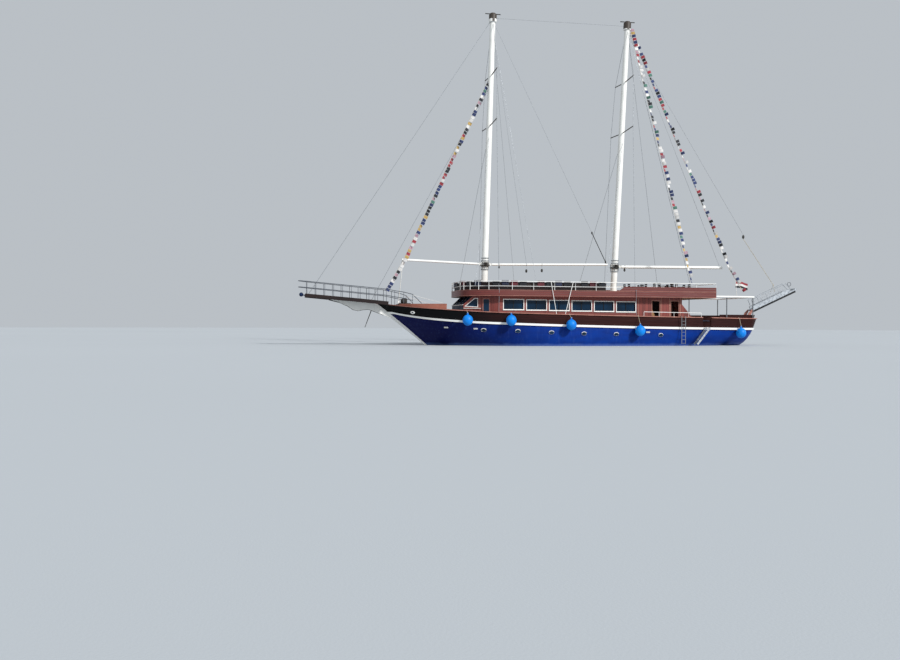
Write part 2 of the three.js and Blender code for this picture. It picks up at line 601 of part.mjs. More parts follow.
function wheelhouse() {
  const { long } = side;
  const outline = [[-60, 1000], [long, 1000], [long, WHEELHOUSE.kink], [long - rake, wallTop], [-60, wallTop]];
  const saloonEnd = box(0, SALOON.fore + GAP, 0, 5000, 0, 5000);
  const pane = [[1560, 2800], [1560, 3350], [1720, 3360], [2400, 2860]];
  const { from, to, low, top, lap, thick, off } = SLIDING_DOOR;
  const panel = plate(outline, -WALL, 0, [pane]);
  const doorway = box(from, to, -200, 200, low + 20, top - 20);
  const tracks = [[low - 40, low], [top + 6, top + 50]].map(([a, b]) => box(20, 1300, -1, off + thick + 10, a, b));
  pair('wheelhouse_side', cut(onSide(cut(join([panel, ...tracks]), [doorway])), [underDeck, saloonEnd]), FINISH.mahogany);
  const leaf = box(from - lap, to + lap, off, off + thick, low + 0.5, top);
  pair('wheelhouse_door', onSide(leaf), FINISH.mahogany);

  // Front, kinked where the windscreen starts to rake.
  const { fore, kink, rakeTop } = WHEELHOUSE;
  const skin = (inset, thickness) => {
    const [a, b] = [inset, inset + thickness];
    const line = (d) => [[fore - d, 1000], [fore - d, kink - d * 0.4], [rakeTop - d * 1.4, wallTop]];
    return [...line(a), ...line(b).reverse()];
  };
  const outboard = onSide(box(-500, 4500, -WALL - GAP, 3000, 0, 5000));
  const zones = [outboard, mirrored(outboard)];
  const lights = [[-1700, -640], [-540, 540], [640, 1700]].map(([a, b]) => box(8500, 10500, a, b, 3040, 3480));
  node('wheelhouse_front', cut(plate(skin(0, WALL), -2600, 2600), [...lights, ...zones, underDeck]),
    FINISH.mahogany);
  // Glass runs round the front, from one side window to the other.
  const within = onSide(box(-500, 4500, -6000, -WALL - GAP, 0, 5000));
  const glass = plate(skin(WALL + GAP, 12), -2600, 2600);
  const front = cut(glass, [box(8500, 10500, -2600, 2600, 3520, 4000), box(8500, 10500, -2600, 2600, 0, 3000)]);
  const strip = onSide(box(1500, 3000, -WALL - GAP - 12, -WALL - GAP, 2740, 3440));
  const behind = plate([[5000, 2000], ...skin(WALL + GAP, 0).slice(0, 3), [5000, wallTop]], -3000, 3000);
  const strips = [strip, mirrored(strip)].map((piece) => piece.intersect(behind));
  const clipped = front.intersect(within).intersect(mirrored(within));
  node('wheelhouse_glass', join([clipped, ...strips]), FINISH.glass);
}

// Plan of the upper deck, from the aft port corner forward, set in by a distance.
function roofPlan(inset) {
  const half = ROOF.half - inset;
  const curve = new THREE.CubicBezierCurve(new THREE.Vector2(6500, half), new THREE.Vector2(8300, half),
    new THREE.Vector2(9900 - inset, 2700 - inset), new THREE.Vector2(9950 - inset, 1500 - inset));
  const port = [[ROOF.aft + inset, half], ...curve.getPoints(6).map((p) => [p.x, p.y])];
  return [...port, ...port.map(([x, y]) => [x, -y]).reverse()];
}

function upperDeck() {
  const hatch = box(HATCH.aft, HATCH.fore, HATCH.inner, HATCH.outer, 3000, 4500);
  const holes = [mastBody(FORE_MAST, 0.4), mastBody(MAIN_MAST, 0.4)];
  const deck = slab(roofPlan(FASCIA_THICK + GAP), ROOF.low, ROOF.top);
  node('upper_deck', cut(deck, [hatch, ...holes]), FINISH.teak);
  const ring = (low, high) => slab(roofPlan(0), low, high).subtract(slab(roofPlan(FASCIA_THICK), low - 9, high + 9));
  const forward = plate([[-1250, 3800], [-2000, PARAPET_TOP + 1], [-2000, 5000], [12000, 5000], [12000, 3800]],
    -5000, 5000);
  const parapet = ring(ROOF.fasciaTop - 1, PARAPET_TOP).subtract(forward);
  node('fascia', join([ring(ROOF.fasciaLow, ROOF.fasciaTop), parapet]), FINISH.mahogany);

  const line = roofPlan(FASCIA_THICK / 2);
  const half = line.slice(0, line.length / 2);
  const path = (z, fromX) => {
    const start = fromX === null ? [[half[0][0], 0], half[0]] : [[fromX, half[0][1]]];
    const port = [...start, ...half.slice(1), [half.at(-1)[0], 0]];
    return port.map(([x, y]) => at(x, y, z));
  };
  const bars = [];
  for (const rail of [rod(path(RAIL_TOP, null), 25, 5), rod(path(RAIL_MID, -1700), 20, 4)]) {
    bars.push(rail, mirrored(rail));
  }
  for (let k = 0; k < 11; k++) {
    const x = lerp(ROOF.aft + 30, 6500, k / 10);
    const foot = (x < -2000 ? PARAPET_TOP : ROOF.fasciaTop) + 0.5;
    for (const y of [half[0][1], -half[0][1]]) bars.push(rod([at(x, y, foot), at(x, y, RAIL_TOP)], 22, 4));
  }
  for (const [x, y] of half.slice(3)) {
    for (const s of [1, -1]) bars.push(rod([at(x, s * y, ROOF.fasciaTop + 0.5), at(x, s * y, RAIL_TOP)], 22, 4));
  }
  node('upper_rails', join(bars), FINISH.steel);

  const seat = slab(roofPlan(FASCIA_THICK + 130), ROOF.top + GAP, ROOF.top + 430);
  const room = slab(roofPlan(FASCIA_THICK + 560), ROOF.top - 9, ROOF.top + 500);
  const aftEnd = box(-20000, -600, -5000, 5000, 3000, 5000);
  const back = slab(roofPlan(FASCIA_THICK + 130), ROOF.top + 300, BENCH_BACK.top);
  const front = slab(roofPlan(FASCIA_THICK + 130 + BENCH_BACK.thick), ROOF.top, BENCH_BACK.top + 9);
  node('upper_benches', cut(join([seat.subtract(room), back.subtract(front)]), [aftEnd]), FINISH.mahogany);
}

function interior() {
  const { half } = SALOON;
  const seats = [box(-3300, 6300, half - 620, half - 95, 1000, 1990),
    box(-3300, 6300, -half + 95, -half + 620, 1000, 1990), box(6000, 6500, -half + 95, half - 95, 1000, 2050)];
  node('saloon_seats', cut(join(seats), [underDeck]), FINISH.cushion);
  const pin = rod([at(8800, 0, 2560), at(8540, 0, 2560)], 18, 8);
  const stand = box(8720, 9150, -450, 450, 1000, 2750).subtract(underDeck);
  node('helm_console', stand.add(pin), FINISH.mahogany);
  const wheel = new THREE.TorusGeometry(330, 20, 5, 14);
  wheel.rotateY(Math.PI / 2);
  wheel.translate(8620, 0, 2560);
  const hub = rod([at(8580, 0, 2560), at(8719.5, 0, 2560)], 60, 10);
  const bore = rod([at(8500, 0, 2560), at(8800, 0, 2560)], boreFor(18, 8), 8);
  const spokes = [0, 60, 120].map((angle) => {
    const [c, s] = [Math.cos(angle * DEGREE) * 430, Math.sin(angle * DEGREE) * 430];
    return rod([at(8620, c, 2560 + s), at(8620, -c, 2560 - s)], 14, 6);
  });
  node('helm_wheel', join([solid(wheel), hub, ...spokes]).subtract(bore), FINISH.teak);

  const [foot, head] = [at(-5150, 0, 1300), at(-3870, 0, ROOF.top - 20)];
  const rise = head.z - foot.z;
  const run = head.x - foot.x;
  const board = [[foot.x - 110, foot.z], [foot.x + 110, foot.z], [head.x + 60, head.z], [head.x - 160, head.z]];
  const stair = [plate(board, 1560, 1600), plate(board, 2250, 2290)];
  for (let k = 1; k < 9; k++) {
    const [x, z] = [foot.x + run * k / 9, foot.z + rise * k / 9];
    stair.push(box(x - 100, x + 100, 1590, 2260, z - 15, z + 15));
  }
  node('stair', cut(join(stair), [underDeck]), FINISH.teak);
}

// Masts and rig.

function mastMatrix(mast) {
  const foot = at(mast.x - (mast.foot - mast.z) * mast.slope, 0, mast.foot);
  const turn = new THREE.Matrix4().makeRotationY(-Math.atan(mast.slope));
  return turn.premultiply(new THREE.Matrix4().makeTranslation(foot.x, 0, foot.z));
}

// Point beside a mast: out from its axis forward and to port, at a height above the water.
function beside(mast, out, y, z) {
  return at(out, y, z - mast.foot).applyMatrix4(mastMatrix(mast));
}

function mastBody(mast, grow) {
  const top = mast.top - mast.foot;
  const collar = GOOSENECK.z - mast.foot;
  const profile = [[0, 0], [250, 0], [235, collar - 300], [235, collar - 180], [300, collar - 130],
    [300, collar + 130], [235, collar + 180], [225, top * 0.6], [205, top - 700], [290, top - 640],
    [290, top - 120], [200, top - 60], [200, top], [0, top]];
  const fat = profile.map(([r, h]) => [r > 0 ? r + grow : 0, h]);
  return turned(fat, MAST_SIDES, mastMatrix(mast));
}

// Lugs and pin that carry a boom, forward (1) or aft (-1) of the mast.
function gooseneck(mast, way) {
  const { z, out, pin, lugLow, lugHigh, lugHalf } = GOOSENECK;
  const h = z - mast.foot;
  const matrix = mastMatrix(mast);
  const lug = (a, b) => {
    const [x0, x1] = way > 0 ? [150, out + lugHalf] : [-out - lugHalf, -150];
    const geometry = new THREE.BoxGeometry(x1 - x0, 2 * lugHalf, b - a);
    geometry.translate((x0 + x1) / 2, 0, h + (a + b) / 2);
    return solid(geometry, matrix);
  };
  const pinEnds = [at(way * out, 0, h - lugLow), at(way * out, 0, h + lugLow)];
  return join([lug(-lugLow, -lugHigh), lug(lugHigh, lugLow), rod(pinEnds.map((p) => p.applyMatrix4(matrix)), pin, 12)]);
}

function boom(mast, way, end, radius) {
  const { z, out, pin, lugHigh } = GOOSENECK;
  const h = z - mast.foot;
  const matrix = mastMatrix(mast);
  const local = (x, y, up) => at(x, y, h + up).applyMatrix4(matrix);
  const eye = rod([local(way * out, 0, 0.5 - lugHigh), local(way * out, 0, lugHigh - 5)], 60, 12);
  const hole = rod([local(way * out, 0, -200), local(way * out, 0, 200)], boreFor(pin, 12), 12);
  const start = local(way * out, 0, 0);
  const dir = end.clone().sub(start).normalize();
  const neck = rod([start.clone(), start.clone().addScaledVector(dir, 200)], 45, 12);
  const spar = rod([start.clone().addScaledVector(dir, 130), start.clone().addScaledVector(dir, 230),
    end.clone().addScaledVector(dir, -200), end], radius, 12);
  return join([eye, neck, spar]).subtract(hole);
}

function rig() {
  const masts = [
    ['foremast', FORE_MAST, [1, -1], 7450, 'fore_shroud'],
    ['mainmast', MAIN_MAST, [-1], -2850, 'main_shroud'],
  ];
  const deckTop = box(-9000, 9000, -5000, 5000, 0, ROOF.top + GAP);
  for (const [name, mast, ways, chainX, shroud] of masts) {
    const carriers = ways.map((way) => gooseneck(mast, way));
    const spreaders = SPREADERS.filter((row) => row[0] === mast);
    const arms = spreaders.map(([, z, half]) =>
      rod([beside(mast, 0, -half, z + 120), beside(mast, 0, 0, z), beside(mast, 0, half, z + 120)], 42, 6));
    const tips = spreaders.map(([, z, half]) => beside(mast, 0, half - 8, z + 120));
    const low = [at(chainX, SHROUD_Y, ROOF.top - 40), ...tips];
    const path = [...low, beside(mast, 0, 60, mast.top - 500)];
    const slot = rod([...low, path.at(-1).clone().lerp(path.at(-2), 0.5)], WIRE + GAP, 6);
    const body = cut(join([mastBody(mast, 0), ...carriers, ...arms]), [underDeck, slot, mirrored(slot)]);
    node(name, body, FINISH.white);
    pair(shroud, cut(rod(path, WIRE, 6), [mastBody(mast, 0.4), deckTop]), FINISH.steel);
  }
  node('fore_boom', boom(FORE_MAST, 1, at(13940, 0, 6230), 85), FINISH.white);
  node('middle_boom', boom(FORE_MAST, -1, at(-1900, 0, 6130), 85), FINISH.white);
  node('main_boom', boom(MAIN_MAST, -1, at(-11440, 0, 6050), 115), FINISH.white);

  const bodies = [mastBody(FORE_MAST, 0.4), mastBody(MAIN_MAST, 0.4)];
  const platform = platformBody(GAP);
  const innerTop = beside(FORE_MAST, 0, 0, 19400);
  node('inner_stay', cut(rod([innerTop, at(16200, 0, 3220)], WIRE, 6), [...bodies, platform]), FINISH.steel);

  const [foreTop, mainTop] = [FORE_MAST, MAIN_MAST].map((mast) => beside(mast, 0, 0, mast.top - 350));
  const stays = [
    ['forestay', foreTop, at(20720, 0, 3600)],
    ['triatic_stay', foreTop, mainTop],
    ['backstay_port', mainTop, at(-7500, 2960, ROOF.top - 60)],
    ['backstay_starboard', mainTop, at(-7500, -2960, ROOF.top - 60)],
  ];
  for (const [name, from, to] of stays) {
    node(name, cut(rod([from, to], WIRE, 6), [...bodies, platform, deckTop]), FINISH.steel);
  }
}

// Place on the cap rail where a post stands.
function capPoint(x) {
  const heights = cap(CAP_TALL);
  const plan = stations.map((_, i) => offsetPoint(i, heights, -60)).map((p) => [p.x, p.y]);
  return at(x, along(plan, x), heightAt(heights, x));
}

function stern() {
  const corner = capPoint(-12550);
  const middle = capPoint(-10200);
  const roof = at(ROOF.aft - GAP - 0.5, 3080, AWNING.z);
  const bend = at(corner.x, corner.y, AWNING.z);
  const port = [roof, at(middle.x, middle.y, AWNING.z), bend, at(-12750, corner.y - 220, AWNING.z),
    at(-12750, 0, AWNING.z)];
  const beam = rod(port, AWNING.radius, 8);
  const posts = [corner, middle].map((p) => rod([at(p.x, p.y, p.z - 30), at(p.x, p.y, AWNING.z)], AWNING.post, 8));
  const halfFrame = cut(join([beam, ...posts]), [capGrown()]);
  const staff = rod([at(-12750, 0, AWNING.z), at(-12600, 0, 5150)], 22, 6);
  node('awning_frame', join([halfFrame, mirrored(halfFrame), staff]), FINISH.white);

  const zone = box(-14000, -9700, -5000, 5000, 0, 5000);
  const out = -BULWARK_THICK - 6;
  const [low, high] = [sheer(DECK_THICK + GAP), sheer(480)];
  const seat = band([[-720, low], [-720, high], [out, high], [out, low]]);
  const level = () => 2330;
  const [near, far, foot] = [-CAP_IN - 6, -CAP_IN - 76, sheer(400)];
  const back = band([[far, foot], [far, level], [near, level], [near, foot]]);
  node('stern_bench', join([seat, back].map((piece) => piece.intersect(zone))), FINISH.mahogany);
}

// Feet, cheeks and pin of the gangway, on the cap rail at the stern.
function gangwayBracket() {
  const { x, z } = GANGWAY;
  const base = heightAt(cap(CAP_TALL), -13500) - 5;
  const foot = box(-13650, -13430, -330, 330, base, base + 45);
  const cheek = [[-13650, base + 1], [-13430, base + 1], [-13560, 2500], [x + 40, z + 60], [x - 40, z + 40],
    [x - 40, z - 40]];
  const pin = rod([at(x, -330, z), at(x, 330, z)], GANGWAY.pin, 12);
  return join([foot, plate(cheek, 300, 330), plate(cheek, -330, -300), pin]);
}

function gangway() {
  const { x, z, slope, long, half, rail } = GANGWAY;
  const matrix = new THREE.Matrix4().makeRotationY((180 - slope) * -DEGREE);
  matrix.premultiply(new THREE.Matrix4().makeTranslation(x, 0, z));
  // In the gangway's own frame x runs along it from the pin and z points down through its deck.
  const piece = (x0, x1, y0, y1, z0, z1) => {
    const geometry = new THREE.BoxGeometry(x1 - x0, y1 - y0, z1 - z0);
    geometry.translate((x0 + x1) / 2, (y0 + y1) / 2, (z0 + z1) / 2);
    return solid(geometry, matrix);
  };
  const put = (d, y, up) => at(d, y, -up).applyMatrix4(matrix);
  const parts = [piece(60, long, -half, half, -20, 60)];
  for (const s of [1, -1]) {
    const [a, b] = s > 0 ? [half, half + 40] : [-half - 40, -half];
    parts.push(piece(-45, long - 60, a, b, -60, 60), piece(160, long - 500, a, b, -260, -50));
    const y = s * (half + 20);
    const hand = [put(280, y, 0), put(280, y, rail), put(long - 620, y, rail), put(long - 320, y, 40)];
    parts.push(rod(hand, 22, 5));
    for (let k = 1; k < 4; k++) {
      const d = lerp(280, long - 620, k / 4);
      parts.push(rod([put(d, y, 0), put(d, y, rail)], 18, 4));
    }
    parts.push(rod([put(280, y, 440), put(long - 620, y, 440)], 14, 4));
  }
  parts.push(rod([put(long - 10, -half - 60, 0), put(long - 10, half + 60, 0)], 90, 10));
  const bore = rod([at(x, -400, z), at(x, 400, z)], boreFor(GANGWAY.pin, 12), 12);
  node('gangway', join(parts).subtract(bore), FINISH.white);
}

// Lug and pin of the boarding ladder, out of the rub rail.
function ladderBracket() {
  const { x, z, inner, outer } = LADDER;
  const lug = box(x - 90, x + 90, 3200, inner - 15, z - 75, z + 60);
  const pin = rod([at(x, inner - 30, z), at(x, outer + 15, z)], LADDER.pin, 10);
  return cut(join([lug, pin]), [hullGrown, tub(GAP + 1, sheer(-1), cap(1))]);
}

function ladders() {
  const { x, z, slope, long, inner, outer } = LADDER;
  const matrix = new THREE.Matrix4().makeRotationY(slope * DEGREE);
  matrix.premultiply(new THREE.Matrix4().makeTranslation(x, 0, z));
  const piece = (x0, x1, y0, y1, z0, z1) => {
    const geometry = new THREE.BoxGeometry(x1 - x0, y1 - y0, z1 - z0);
    geometry.translate((x0 + x1) / 2, (y0 + y1) / 2, (z0 + z1) / 2);
    return solid(geometry, matrix);
  };
  const parts = [piece(-60, long, inner, inner + 35, -70, 70), piece(-60, long, outer - 35, outer, -70, 70)];
  for (let k = 0; k < 6; k++) {
    const d = lerp(160, long - 100, k / 5);
    const step = new THREE.BoxGeometry(190, outer - inner - 40, 26);
    step.rotateY(-slope * DEGREE);
    step.translate(d, (inner + outer) / 2, 0);
    parts.push(solid(step, matrix));
  }
  const bore = rod([at(x, inner - 100, z), at(x, outer + 100, z)], boreFor(LADDER.pin, 10), 10);
  node('boarding_ladder', join(parts).subtract(bore), FINISH.white);

  const { aft, fore, y, low } = SWIM_LADDER;
  const rails = [aft, fore].map((px) => {
    const top = heightAt(cap(CAP_TALL), px) + 22;
    return rod([at(px, y - 190, top), at(px, y + 95, top), at(px, y + 95, low)], 22, 6);
  });
  const rungs = Array.from({ length: 7 }, (_, k) => {
    const z = low + 60 + k * 270;
    return rod([at(aft, y + 95, z), at(fore, y + 95, z)], 16, 4);
  });
  node('swim_ladder', cut(join([...rails, ...rungs]), [capGrown()]), FINISH.steel);
}

// The cap rail with a small gap all round.
const capGrown = () => tub(CAP_OUT + GAP, cap(), cap(CAP_TALL + GAP));

function fenders() {
  const holds = capGrown();
  const profile = [[0, -FENDER_R]];
  for (let k = 1; k < 7; k++) {
    const angle = lerp(-90, 62, k / 6) * DEGREE;
    profile.push([FENDER_R * Math.cos(angle), FENDER_R * Math.sin(angle)]);
  }
  profile.push([60, FENDER_R + 50], [0, FENDER_R + 50]);
  for (const [k, [x, z]] of FENDERS.entries()) {
    const i = stations.findIndex((station) => sidePoint(station, z).x > x);
    const [a, b] = [sidePoint(stations[i - 1], z), sidePoint(stations[i], z)];
    const t = (x - a.x) / (b.x - a.x);
    const way = Math.hypot(b.x - a.x, b.y - a.y);
    const [nx, ny] = [-(b.y - a.y) / way, (b.x - a.x) / way];
    const drop = Math.max(0, heightAt(sheer(-RUB_TALL), x) - z);
    const lean = drop < FENDER_R ? RUB_OUT + Math.sqrt(FENDER_R ** 2 - drop ** 2) : 0;
    const out = Math.max(FENDER_R, lean) + FENDER_OFF;
    const centre = at(lerp(a.x, b.x, t) + nx * out, lerp(a.y, b.y, t) + ny * out, z);
    const ball = turned(profile, 12, new THREE.Matrix4().makeTranslation(centre.x, centre.y, centre.z));
    const heights = cap();
    const plan = stations.map((_, s) => offsetPoint(s, heights, 45)).map((p) => [p.x, p.y]);
    const top = at(centre.x, along(plan, centre.x), heightAt(heights, centre.x) + 30);
    const rope = rod([at(centre.x, centre.y, z + FENDER_R + 20), top], 13, 6);
    node(`fender_${k + 1}`, cut(join([ball, rope]), [holds]), FINISH.azure);
  }
}

hullAndKeel();
sternGear();
sides();
bow();
saloon();
wheelhouse();
upperDeck();
interior();
rig();
stern();
gangway();
ladders();
fenders();

export default root;
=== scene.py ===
"""Looks of a two-masted tour boat in the style of a pirate ship, dressed over its CAD frame."""

import logging
import random
from dataclasses import dataclass, replace
from enum import Enum
from functools import lru_cache
from math import atan2, cos, pi, radians, sin
from typing import Any, Iterable, Sequence

import bmesh
import bpy
from mathutils import Matrix, Vector
from mathutils.bvhtree import BVHTree
from mathutils.geometry import interpolate_bezier


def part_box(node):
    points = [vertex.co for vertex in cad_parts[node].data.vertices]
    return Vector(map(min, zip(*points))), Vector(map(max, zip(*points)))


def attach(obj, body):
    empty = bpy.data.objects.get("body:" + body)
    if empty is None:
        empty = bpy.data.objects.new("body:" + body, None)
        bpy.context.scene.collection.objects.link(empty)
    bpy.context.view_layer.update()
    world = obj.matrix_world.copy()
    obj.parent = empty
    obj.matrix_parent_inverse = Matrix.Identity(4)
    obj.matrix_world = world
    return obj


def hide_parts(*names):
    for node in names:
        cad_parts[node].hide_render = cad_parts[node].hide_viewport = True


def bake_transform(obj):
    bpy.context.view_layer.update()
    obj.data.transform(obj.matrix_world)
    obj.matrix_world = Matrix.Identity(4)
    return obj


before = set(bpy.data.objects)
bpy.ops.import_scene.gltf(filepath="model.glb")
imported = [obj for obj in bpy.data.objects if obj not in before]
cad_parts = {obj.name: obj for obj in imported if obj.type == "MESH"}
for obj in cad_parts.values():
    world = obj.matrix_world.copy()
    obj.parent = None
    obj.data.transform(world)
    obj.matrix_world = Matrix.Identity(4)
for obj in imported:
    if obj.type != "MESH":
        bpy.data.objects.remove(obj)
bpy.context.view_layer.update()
LOG = logging.getLogger("boat")
# Points closer than these, in metres, are one: in the CAD nodes, and in a turned piece.
WELD = 0.0001
MERGE = 0.0002
# Angle in degrees from which an edge of a new piece stays an edge.
CREASE = 40
# A length too short to matter.
HAIR = 1e-9
Point = Sequence[float]
Pair = tuple[float, float]
Triple = tuple[float, float, float]
Tree = bpy.types.NodeTree
Source = bpy.types.Node | bpy.types.NodeSocket
DOWN = Vector((0, 0, -1))
UP = Vector((0, 0, 1))


class Side(Enum):
    """The two sides of the boat, as the sign of Y."""

    PORT = 1
    STARBOARD = -1

    def at(self, x: float, y: float, z: float) -> Vector:
        """A point given for the port side, on this side."""
        return Vector((x, y * self.value, z))

    def named(self, piece: str) -> str:
        """The name of a piece on this side."""
        return f"{piece}_{self.name.lower()}"

    def span(self, fore: float, aft: float) -> list[float]:
        """Two places along the boat as X on this side's wall, seen from outside, left one first."""
        return sorted((fore * -self.value, aft * -self.value))


class Axis(Enum):
    """The direction across which boards are laid, as an output of a Separate XYZ node."""

    ALONG = "X"
    ACROSS = "Y"
    UP = "Z"


# Colours and nodes.


def linear(code: str) -> tuple[float, float, float, float]:
    """Turn an sRGB hex value into linear colour.

    Args:
        code: The value, a hash sign and six digits.

    Returns:
        Red, green, blue and 1.
    """
    parts = [int(code[i : i + 2], 16) / 255 for i in (1, 3, 5)]
    curve = [p / 12.92 if p <= 0.04045 else ((p + 0.055) / 1.055) ** 2.4 for p in parts]
    return (curve[0], curve[1], curve[2], 1.0)


def first_output(source: Source) -> bpy.types.NodeSocket:
    """The first output of a node, or the output that is given itself."""
    return source.outputs[0] if isinstance(source, bpy.types.Node) else source


def add(tree: Tree, kind: str, links: dict | None = None, **settings: Any) -> bpy.types.Node:
    """Add a node with its settings and inputs.

    Args:
        tree: The material's nodes.
        kind: The node's type, without the words that all types start with.
        links: Values, nodes or outputs by the input's name or number.
        settings: The node's own properties.

    Returns:
        The new node.
    """
    node = tree.nodes.new(f"ShaderNode{kind}")
    for name, value in settings.items():
        setattr(node, name, value)
    for key, value in (links or {}).items():
        socket = node.inputs[key]
        if isinstance(value, (bpy.types.Node, bpy.types.NodeSocket)):
            tree.links.new(first_output(value), socket)
        else:
            socket.default_value = value
    return node


@dataclass(frozen=True)
class Finish:
    """What every finish has: its name and how its surface takes light."""

    name: str
    roughness: float = 0.5
    metallic: float = 0.0
    specular: float = 0.5
    coat: float = 0.0
    sheen: float = 0.0

    def build(self) -> bpy.types.Material:
        """The Blender material of this finish, made once.

        Returns:
            The material, with its nodes linked to one Principled shader.
        """
        found = bpy.data.materials.get(self.name)
        if found:
            return found
        material = bpy.data.materials.new(self.name)
        material.use_nodes = True
        tree = material.node_tree
        shader = tree.nodes["Principled BSDF"]
        shader.inputs["Roughness"].default_value = self.roughness
        shader.inputs["Metallic"].default_value = self.metallic
        shader.inputs["Coat Weight"].default_value = self.coat
        shader.inputs["Specular IOR Level"].default_value = self.specular
        shader.inputs["Sheen Weight"].default_value = self.sheen
        place = add(tree, "TexCoord").outputs["Object"]
        for name, source in self.paint(tree, place).items():
            tree.links.new(first_output(source), shader.inputs[name])
        return material

    def paint(self, tree: Tree, place: Source) -> dict[str, Source]:
        """What the shader's inputs read. Each kind of finish has its own."""
        raise NotImplementedError

    def blend(self, tree: Tree, share: Any, first: Any, second: Any) -> Source:
        """Mix two colours, each a hex value or a source, by a share of the second.

        Args:
            tree: The material's nodes.
            share: The share of the second.
            first: The first colour.
            second: The second colour.

        Returns:
            The output with the mixed colour.
        """
        pair = [linear(c) if isinstance(c, str) else c for c in (first, second)]
        mix = add(tree, "Mix", {0: share, 6: pair[0], 7: pair[1]}, data_type="RGBA")
        return mix.outputs[2]

    def cloudy(self, tree: Tree, place: Source, size: Point, low: float = 0.35, high: float = 0.65) -> Source:
        """Noise from 0 to 1.

        Args:
            tree: The material's nodes.
            place: The coordinates it reads.
            size: Size of its patches along X, Y and Z in metres.
            low: Noise at which the result is 0.
            high: Noise at which the result is 1.

        Returns:
            The node that gives it.
        """
        scale = [1 / s for s in size]
        mapped = add(tree, "Mapping", {"Vector": place, "Scale": scale})
        noise = add(tree, "TexNoise", {"Vector": mapped, "Scale": 1.0, "Detail": 3.0})
        return add(tree, "MapRange", {0: noise, 1: low, 2: high})

    def seams(self, tree: Tree, across: Source, board: float, gap: float) -> Source:
        """Lines between boards, 1 in the middle of a seam and 0 on the boards."""
        near = add(tree, "Math", {0: across, 1: board / 2}, operation="PINGPONG")
        return add(tree, "MapRange", {0: near, 1: 0.0, 2: gap, 3: 1.0, 4: 0.0})

    def dented(self, tree: Tree, height: Source, depth: float, strength: float = 0.6) -> Source:
        """A normal from a height of 0 to 1 that stands for a depth in metres."""
        return add(tree, "Bump", {"Height": height, "Distance": depth, "Strength": strength})

    def worn(self, tree: Tree, share: Source, less: float = 0.05, more: float = 0.12) -> Source:
        """Roughness from a little under the finish's own to a little over it, by a share."""
        low, high = self.roughness - less, self.roughness + more
        return add(tree, "MapRange", {0: share, 3: low, 4: high})

    def towards(self, tree: Tree, place: Source, start: float, end: float) -> Source:
        """A share that grows from 0 to 1 from one place along the boat to another."""
        parts = add(tree, "SeparateXYZ", {0: place})
        return add(tree, "MapRange", {0: parts, 1: start, 2: end})


@dataclass(frozen=True)
class Boards(Finish):
    """Timber boards side by side, each with its own tone, with grain along them and dark seams.

    Where a fore colour is given, the boards turn to it between two places along the boat: painted shade
    towards the bow.
    """

    light: str = "#8a3a28"
    dark: str = "#5c2016"
    seam: str = "#2a100c"
    board: float = 0.2
    gap: float = 0.012
    across: Axis = Axis.UP
    grain: Triple = (1.6, 0.05, 0.03)
    depth: float = 0.008
    # Colour of the painted shade towards the bow, or none.
    fore: str = ""
    turn: Pair = (4.0, 10.5)

    def paint(self, tree: Tree, place: Source) -> dict[str, Source]:
        """Board tones, grain and seams, and painted shade towards the bow where a fore colour is given.

        Args:
            tree: The material's nodes.
            place: The coordinates that it reads.

        Returns:
            What feeds each of the shader's inputs.
        """
        parts = add(tree, "SeparateXYZ", {0: place})
        across = parts.outputs[self.across.value]
        number = add(tree, "Math", {0: across, 1: self.board}, operation="DIVIDE")
        whole = add(tree, "Math", {0: number}, operation="FLOOR")
        tone = add(tree, "TexWhiteNoise", {"W": whole}, noise_dimensions="1D")
        grain = self.cloudy(tree, place, self.grain, 0.3, 0.7)
        share = add(tree, "Math", {0: tone, 1: 0.45, 2: 0.0}, operation="MULTIPLY_ADD")
        share = add(tree, "Math", {0: grain, 1: 0.55, 2: share}, operation="MULTIPLY_ADD")
        wood = self.blend(tree, share, self.light, self.dark)
        # Painted shade: the boards darken towards the bow.
        if self.fore:
            wood = self.blend(tree, self.towards(tree, place, *self.turn), wood, self.fore)
        line = self.seams(tree, across, self.board, self.gap)
        flat = add(tree, "Math", {0: 1.0, 1: line}, operation="SUBTRACT")
        return {
            "Base Color": self.blend(tree, line, wood, self.seam),
            "Normal": self.dented(tree, flat, self.depth),
            "Roughness": self.worn(tree, grain, 0.08, 0.1),
        }


@dataclass(frozen=True)
class Gloss(Finish):
    """Brushed marine enamel: even colour with faint clouds, rain streaks and the boards underneath."""

    colour: str = "#f2f1ec"
    shadow: str = "#c9c8c2"
    board: float = 0.18
    across: Axis = Axis.UP
    streak: float = 0.35
    depth: float = 0.002

    def paint(self, tree: Tree, place: Source) -> dict[str, Source]:
        """Clouds, streaks that run down, and a trace of the seams.

        Args:
            tree: The material's nodes.
            place: The coordinates that it reads.

        Returns:
            What feeds each of the shader's inputs.
        """
        clouds = self.cloudy(tree, place, (0.9, 0.9, 0.5))
        streaks = self.cloudy(tree, place, (0.09, 0.09, 1.4), 0.5, 0.8)
        share = add(tree, "Math", {0: clouds, 1: streaks}, operation="MULTIPLY")
        share = add(tree, "Math", {0: share, 1: self.streak}, operation="MULTIPLY")
        parts = add(tree, "SeparateXYZ", {0: place})
        line = self.seams(tree, parts.outputs[self.across.value], self.board, 0.008)
        return {
            "Base Color": self.blend(tree, share, self.colour, self.shadow),
            "Normal": self.dented(tree, line, self.depth, 0.4),
            "Roughness": self.worn(tree, clouds),
        }


